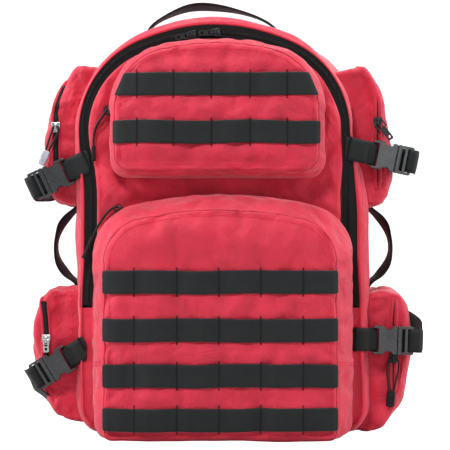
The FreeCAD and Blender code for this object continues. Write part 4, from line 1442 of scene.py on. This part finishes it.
inside_sheet("back_foam_cover", "back_foam", "foam", 20.0, 0.2)
inside_sheet("hydration_sleeve_fabric", "hydration_sleeve", "lining", 18.0, 1.0)
sleeve_low, sleeve_high = node_box("hydration_sleeve")
elastic = [(Vector((x, sleeve_low.y - 0.9, sleeve_high.z - 9 - 4 * math.cos(x / 70))), Vector((0, 0, 1)))
           for x in range(-104, 105, 8)]
strip("hydration_sleeve_elastic", elastic, 14, 1.6, "black_webbing", "pack")


# ---- Compression straps --------------------------------------------------------------
STRAPS = {
    "upper_left": dict(side=-1, fall=25.0, x=145.6, z=299.0, lead=24.0, seam=145.2, rise=-4.0, twist=0.0,
                       route=[(211, -40), (205, 0), (202, 40), (188, 62), (164, 76.5)]),
    "upper_right": dict(side=1, fall=11.6, x=144.5, z=310.5, lead=18.0, seam=133.0, rise=4.0, twist=0.0,
                        route=[(212, -40), (199, 0), (193, 40), (180, 62), (160, 76.5)]),
    "lower_left": dict(side=-1, fall=31.0, x=148.0, z=97.0, lead=22.0, seam=148.6, rise=-36.0, twist=0.62,
                       route=[(200, -40), (195, 0), (197, 40), (188, 63), (166, 77)]),
    "lower_right": dict(side=1, fall=2.0, x=145.0, z=104.5, lead=18.0, seam=140.5, rise=17.0, twist=0.0,
                        route=[(218, -38), (210, 0), (207, 40), (188, 62), (160, 76.5)]),
}
STRAP_Y = -57.8


def strap_place(facts):
    """Local frame of a buckle: x away from the body along the strap, y across it, z off its face."""
    a = math.radians(facts["fall"])
    along = Vector((facts["side"] * math.cos(a), 0, -math.sin(a)))
    out = Vector((0, -1, 0))
    start = Vector((facts["side"] * facts["x"], STRAP_Y, facts["z"])) + along * facts["lead"]
    return frame_at(along, out.cross(along), out, start)


def compression_strap(key, facts):
    """The stub sewn to the rim, its bar tack, and the webbing from the ladder to the back."""
    place = strap_place(facts)
    along, across = place.to_3x3() @ Vector((1, 0, 0)), place.to_3x3() @ Vector((0, 1, 0))
    lead = facts["lead"]
    seam = -lead - (facts["x"] - facts["seam"]) - 1.5
    fold = [(seam, 6.2), (5 - lead, 6.0), (12 - lead, 4.6), (-4.0, 2.5), (1.0, 2.5), (4.2, 2.0),
            (5.0, 0), (4.2, -2.0), (1.0, -2.5), (-4.0, -2.3)]
    stub = smooth_line([(x, 0, z) for x, z in fold], 54)
    made = strip("strap_stub_" + key, [(place @ p, across) for p in stub], 25.0, 1.5,
                 "black_webbing", "pack", ["strap_stubs"], lanes=6)
    cut = facts["seam"]
    for vertex in made.data.vertices:
        if abs(vertex.co.x) < cut * MM:
            vertex.co.x = math.copysign(cut * MM, vertex.co.x)
            vertex.co.y = max(vertex.co.y, (FRONT_Y - 2.2) * MM)
    a = math.radians(facts["fall"])
    local = []
    for x, y in facts["route"]:
        rise = facts["rise"] * facts["side"] * ease(y, STRAP_Y, -22.0)
        inwards = facts["side"] * across.x * rise
        local.append(((x - facts["x"] - inwards) / math.cos(a) - lead, rise, STRAP_Y - y))
    turn = local[0][0]
    ladder = [(31.9, -3.4), (34.5, -3.7), (37.6, -3.4), (39.6, -2.0), (40.3, 0.4), (41.6, 2.9),
              (44.2, 3.7), (turn - 3.0, 3.4), (turn + 0.2, -1.0), (turn + 0.5, -9.0)]
    line = smooth_line([(x, 0, z) for x, z in ladder] + local, 90)
    band = [(place @ p, across - along * facts["twist"] * math.exp(-((p.z + 24) / 15) ** 2)) for p in line]
    web = strip("strap_webbing_%s_band" % key, band, 25.0, 1.5, "black_webbing", None,
                ["strap_webbing_" + key, "strap_webbing_rear"], lanes=6)
    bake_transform(web)
    bars = []
    for n in range(34):
        at = place @ Vector((seam + 5.0, -13 + n * 0.79, 7.1))
        if abs(at.x) > cut + 1.5:
            bars.append((at - along * 1.1, at + along * 1.1, 0.36))
    beads("strap_stub_%s_tack" % key, bars, "black_thread", "pack")


for key, facts in STRAPS.items():
    compression_strap(key, facts)


# ---- Handles -------------------------------------------------------------------------
def grab_handle():
    """Doubled webbing over the crown, its ends sewn flat, and a slight roll towards the back."""
    low, high = node_box("grab_handle")
    y = (low.y + high.y) / 2
    top = high.z - 2.2
    route = [(-121, 424.5), (-106, 434.0), (-95, 441.0), (-84, 461.5), (-62, 475.5), (-36, top),
             (-6, top - 0.5), (26, 477.0), (50, 467.5), (66, 455.0), (74, 449.6), (80, 446.0)]
    shell_tree = surface_of(shell)
    line = []
    for p in smooth_line([(x, y, z) for x, z in route], 72):
        ground, behind = (laid(shell_tree, (p.x, y + off, 520), (0, 0, -1)) for off in (0, 10))
        sewn = 1 - ease(p.x, -104, -92) * (1 - ease(p.x, 68, 78))
        floor = ground.z + 1.6
        place = Vector((p.x, y, max(p.z * (1 - sewn) + floor * sewn, floor)))
        roll = 0.15 - 0.38 * math.exp(-((p.x + 26) / 52) ** 2)
        roll += (0.1 * (behind.z - ground.z) - roll) * sewn
        line.append((place, Vector((0, 1, roll))))
    handle = strip("grab_handle_web", line, 25.0, 3.0, "handle_webbing_red_bounce_cancelled", None, ["grab_handle"], lanes=6)
    swing = joint("grab_handle_swing")
    axis = Vector(swing["axis"])
    rise = Vector((-axis.z, 0, axis.x)).normalized()
    if rise.z < 0:
        rise = -rise
    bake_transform(handle)


grab_handle()


def side_handle(side):
    """A looser handle on the side, box-stitched at both ends."""
    sign = -1 if side == "left" else 1
    low, high = node_box("side_handle_" + side)
    y = (low.y + high.y) / 2
    root = BODY.half_w + 1.2
    out = BODY.half_w + 28.5
    route = [(root, 268), (root + 0.3, 256), (root + 3.0, 249), (root + 14, 238.5), (out - 5, 226),
             (out, 208), (out - 2.0, 190), (out - 12, 173.5), (root + 4.5, 164.5), (root + 0.5, 157),
             (root, 146)]
    line = []
    for p in smooth_line([(x, y, z) for x, z in route], 64):
        ends = math.exp(-((min(abs(p.z - 236), abs(p.z - 176))) / 14) ** 2)
        line.append((Vector((sign * p.x, p.y, p.z)), Vector((-sign * (0.10 + 0.40 * ends), 1, 0))))
    handle = strip("side_handle_%s_web" % side, line, 20.0, 3.0, "handle_webbing_red_bounce_cancelled", None,
                   ["side_handle_" + side], lanes=6)
    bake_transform(handle)
    bars = []
    x = sign * (root + 1.1)
    for z in (258.0, 154.0):
        for edge in (-6.5, 6.5):
            bars += stitch_bars([(x, y + edge, z - 7), (x, y + edge, z + 7)], 2.0, 0.8)
        for lean in (1, -1):
            bars += stitch_bars([(x, y - 6.5, z - 7 * lean), (x, y + 6.5, z + 7 * lean)], 2.0, 0.8)
    beads("side_handle_%s_box_stitch" % side, bars, "black_thread", "pack", ["side_handle_anchors"])


for side in ("left", "right"):
    side_handle(side)


# ---- Side pocket zips, seams and stitching -------------------------------------------
def side_zip(key, z0, z1, gape, straight_to, bend):
    """A coil between two fabric welts that leave gape millimetres of it to be seen. Above straight_to, past
    the slider's travel, it curves outwards by bend millimetres."""
    sunk = 1.7 if gape > 1 else 0.3
    pocket = SIDE_POCKETS[key]
    tree = surface_of(pocket.fabric)
    tape_y = node_box("side_pocket_zips")[0].y
    line, coil, welts = [], [], []
    count = 44
    for n in range(count + 1):
        z = z0 + (z1 - z0) * n / count
        past = max(z - straight_to, 0.0) / (z1 - straight_to)
        px = pocket.side * (pocket.zip_x + bend * past ** 1.7)
        hit = laid(tree, (px, tape_y - 40, z), (0, 1, 0))
        y = tape_y + 0.5 if hit is None else hit.y - 0.3
        y = min(y, tape_y + 0.6) if past == 0 else max(y, tape_y)
        welts.append(Vector((px, y, z)))
        if 2 <= n <= count - 2:
            line.append((Vector((px, y, z)), Vector((1, 0, 0))))
            coil.append(Vector((px, y - 0.35, z)))
    strip("side_zip_%s_tape" % key, line, gape + 4.0, 0.8, "zip_tape", "pack", ["side_pocket_zips"])
    bars = []
    for n, (p, _) in enumerate(walk(coil, 0.95)):
        shift = 1.0 if n % 2 else -1.0
        bars.append((p + Vector((shift * 1.8, 0, 0)), p - Vector((shift * 0.8, 0, 0)), 0.4))
    beads("side_zip_%s_coil" % key, bars, "zip_coil", "pack")
    radius = 2.4
    for sign in (1, -1):
        welt = []
        for n, p in enumerate(welts):
            end = (2 * n / count - 1) ** 8
            beside = gape / 2 * (1 - end) + radius * (1 - 0.6 * end)
            welt.append(p + Vector((sign * beside, sunk + 2.0 * end, 0)))
        piping("side_zip_%s_welt_%s" % (key, "outer" if sign == pocket.side else "inner"), welt, radius,
               "red_binding", "pack")


for key, z0, z1, gape, straight_to, bend in (
        ("upper_left", 268.0, 388.0, 3.0, 346.0, -12.0), ("upper_right", 268.0, 372.0, 0.5, 366.0, -1.0),
        ("lower_left", 62.0, 149.0, 2.8, 108.0, 4.0), ("lower_right", 44.0, 148.0, 0.5, 110.0, 2.0)):
    side_zip(key, z0, z1, gape, straight_to, bend)


def on_side_pocket(key, places):
    """A line of stitching on a side pocket's front, through (x out, z) places."""
    pocket = SIDE_POCKETS[key]
    tree = surface_of(pocket.fabric)
    line = []
    for x, _, z in smooth_line([(x, 0, z) for x, z in places], 40):
        hit = laid(tree, (pocket.side * x, -120, z), (0, 1, 0))
        if hit:
            line.append(hit + Vector((0, -0.1, 0)))
    return line


SIDE_SEAMS = {
    "upper_left": [[(163, 309), (178, 310), (190, 307)], [(163, 305), (178, 306), (190, 303)]],
    "upper_right": [[(160, 392), (162, 350), (163, 300), (164, 262)]],
    "lower_left": [[(166, 152), (166, 100), (166, 60)], [(181, 154), (180, 110), (180, 100)],
                   [(184, 154), (183, 110), (183, 100)]],
    "lower_right": [[(167, 148), (166, 90), (166, 40)], [(165, 44), (180, 46), (192, 49)],
                    [(165, 40), (180, 42), (190, 45)]],
}
for key, seams in SIDE_SEAMS.items():
    bars = []
    for places in seams:
        line = on_side_pocket(key, places)
        if len(line) > 1:
            bars += stitch_bars(line)
    beads("side_pocket_%s_stitches" % key, bars, "red_thread", "pack")


def rim_stitches():
    """Topstitching along the fold beside the main zip, on the rim and on the panel."""
    for name, tree, body, inset in (("rim_stitches", surface_of(shell), "pack", 5.6),
                                    ("panel_edge_stitches", surface_of(panel), "front_panel", 27.4)):
        bars = []
        line = []
        for p in body_line(inset, 0, 20):
            hit = laid(tree, (p.x, FRONT_Y - 40, p.z), (0, 1, 0))
            if hit:
                line.append(hit + Vector((0, -0.1, 0)))
        bars += stitch_bars(line)
        beads(name, bars, "red_thread", body)


rim_stitches()


# ---- The lower lid's pieces each get a mesh of their own -----------------------------
LID_PIECES = tuple("lower_pocket_" + part for part in ("lid_fabric", "load", "face", "bar", "gusset"))
for made in list(bpy.data.objects):
    if made.name.startswith(LID_PIECES):
        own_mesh(made)


# ---- Zip pulls -----------------------------------------------------------------------
CORD_D = 2.2
AXIS_UP = 4.1                       # the pull turns here, under the slider's bail
LOOP_SHAPE = [(0.46, 1.0), (0.62, 0.76), (0.9, 0.52), (1.0, 0.30), (0.96, 0.12)]
BAIL_TURNS = [(-2.7, 0.6, AXIS_UP), (2.7, 0.6, AXIS_UP)]


def slack_loop(drop, half_w, lean=0.0):
    """A doubled cord that hangs from its bail: across, up and out from the slider."""
    left = [(-half_w * a, -drop * d, AXIS_UP) for a, d in LOOP_SHAPE]
    right = [(-x, y, z) for x, y, z in reversed(left)]
    return [(x + lean * min(y + 4, 0), y, z) for x, y, z in left + BAIL_TURNS + right]


def standing_loop(half_w, centre_line):
    """A doubled cord that drapes over its pocket along centre_line: up and out from the slider."""
    left = [(-half_w * share[0], y, z) for share, (y, z) in zip(LOOP_SHAPE, centre_line)]
    return left + BAIL_TURNS + [(-x, y, z) for x, y, z in reversed(left)]


LOWER_SLIDER_TURN = math.radians(120)
PULL_CORDS = {              # slider's up and out, loop, length
    "upper_left": ((0, 0, 1), (0, -1, 0), slack_loop(26.0, 3.6, lean=0.42), 61.4),
    "lower_right": ((0, 0, 1), (0, -1, 0), slack_loop(36.0, 6.2, lean=0.08), 80.2),
    "upper_pocket": ((0, 0, 1), (-1, 0, 0),
                     standing_loop(2.8, [(-38.0, 18.5), (-28.5, 18.6), (-19.5, 16.6), (-11.5, 12.4),
                                         (-4.5, 7.0)]),
                     88.1),
    "lower_pocket": ((math.sin(LOWER_SLIDER_TURN), 0, -math.cos(LOWER_SLIDER_TURN)),
                     (math.cos(LOWER_SLIDER_TURN), 0, math.sin(LOWER_SLIDER_TURN)),
                     standing_loop(2.8, [(-38.5, -10.0), (-30.5, -4.2), (-22.0, 0.4), (-13.5, 4.2),
                                         (-5.5, 6.4)]),
                     90.3),
}


def pull_cord(key, up, out, loop, length):
    """A doubled cord through the slider's bail, both ends held in its moulded toggle."""
    body = key + "_pull" if "pocket" in key else "side_pull_" + key
    up, out = Vector(up), Vector(out)
    across = up.cross(out)
    bail = Vector(joint(body + "_swing")["pos_m"]) / MM
    route = [bail + across * x + up * y + out * (z - AXIS_UP) for x, y, z in loop]
    curve = bpy.data.curves.new("%s_cord_line" % key, "CURVE")
    curve.dimensions = "3D"
    curve.bevel_depth = CORD_D / 2 * MM
    curve.bevel_resolution = 4
    curve.resolution_u = 10
    line = curve.splines.new("NURBS")
    line.points.add(len(route) - 1)
    for point, place in zip(line.points, route):
        point.co = (*(place * MM), 1)
    line.order_u = 3
    line.use_endpoint_u = True
    made = dress(placed("%s_pull_cord_line" % key, curve), "pull_cord", body, [key + "_pull_cord"])


for key, facts in PULL_CORDS.items():
    pull_cord(key, *facts)


# ---- CAD pieces that stay ------------------------------------------------------------
KEPT = {
    "buckle_plastic": ["buckle_sockets", "strap_adjuster_left", "strap_adjuster_right"]
                      + ["buckle_plug_" + key for key in STRAPS],
    "black_metal": ["main_slider_left", "main_slider_right", "upper_pocket_slider", "lower_pocket_slider",
                    "side_slider_upper_right", "side_slider_lower_right", "main_pull_tab_left",
                    "main_pull_tab_right", "upper_right_pull_tab"],
    "nickel": ["side_slider_upper_left", "side_slider_lower_left", "lower_left_pull_tab"],
    "black_rubber": ["lower_right_toggle", "upper_pocket_toggle", "lower_pocket_toggle"],
    "grey_rubber": ["upper_left_toggle"],
}
for material, names in KEPT.items():
    for name in names:
        kept = frame["nodes"][name]
        kept.data.materials.clear()
        kept.data.materials.append(MATERIALS[material])


# ---- Floor, light and camera ---------------------------------------------------------
def backdrop_material():
    """White to the camera apart from the contact shadow; only its bounced light reaches the object."""
    shade = Shade("studio_white", (0.6, 0.6, 0.6), 0.9, Specular_IOR_Level=0.0, Emission_Color=(1, 1, 1, 1))
    shade.vary(shade.noise(3.0, 2.0), 0.995, 1.005)
    seen = shade.node("LightPath").outputs["Is Camera Ray"]
    shade.feed(shade.bsdf, "Emission Strength", shade.math("MULTIPLY", seen, 0.92))
    return shade.material


def backdrop():
    radius, sides = 14.0, 48
    turns = [2 * math.pi * n / sides for n in range(sides)]
    mesh = bpy.data.meshes.new("backdrop")
    mesh.from_pydata([(radius * math.cos(a), radius * math.sin(a), 0.0) for a in turns], [], [range(sides)])
    mesh.materials.append(backdrop_material())
    placed("backdrop", mesh)


SOFTBOXES = {                    # place, size, power
    "left": ((-2.1, -0.3, 0.9), 0.9, 30.0),
    "right": ((2.1, -0.2, 0.8), 0.9, 26.0),
    "front": ((-0.7, -1.9, 2.2), 0.6, 36.0),
    "low": ((0.5, -2.6, 0.6), 1.0, 7.0),
    "top": ((0.0, 0.0, 2.4), 0.9, 24.0),
    "behind": ((0.4, 2.3, 1.5), 1.2, 24.0),
}


def studio():
    scene = bpy.context.scene
    backdrop()
    for name, (place, size, power) in SOFTBOXES.items():
        light = bpy.data.lights.new(name, "AREA")
        light.size = size
        light.energy = power
        lamp = placed(name, light)
        lamp.location = place
        aim = Vector((0, 0, 0.24)) - Vector(place)
        lamp.rotation_euler = aim.to_track_quat("-Z", "Y").to_euler()
    world = bpy.data.worlds.new("studio")
    world.use_nodes = True
    nodes, links = world.node_tree.nodes, world.node_tree.links
    seen = nodes.new("ShaderNodeLightPath")
    strength = nodes.new("ShaderNodeMapRange")
    strength.inputs["To Min"].default_value = 0.11
    strength.inputs["To Max"].default_value = 1.0
    links.new(seen.outputs["Is Camera Ray"], strength.inputs["Value"])
    links.new(strength.outputs[0], nodes["Background"].inputs["Strength"])
    nodes["Background"].inputs["Color"].default_value = (1, 1, 1, 1)
    scene.world = world
    scene.view_settings.view_transform = "Standard"
    scene.view_settings.look = "Medium High Contrast"
    camera = placed("camera", bpy.data.cameras.new("camera"))
    camera.location = (0.002, -1.722, 0.229)
    camera.rotation_euler = (math.radians(90), 0, 0)
    camera.data.lens = 121.9
    camera.data.sensor_width = 36.0
    scene.camera = camera


studio()

bpy.context.view_layer.update()
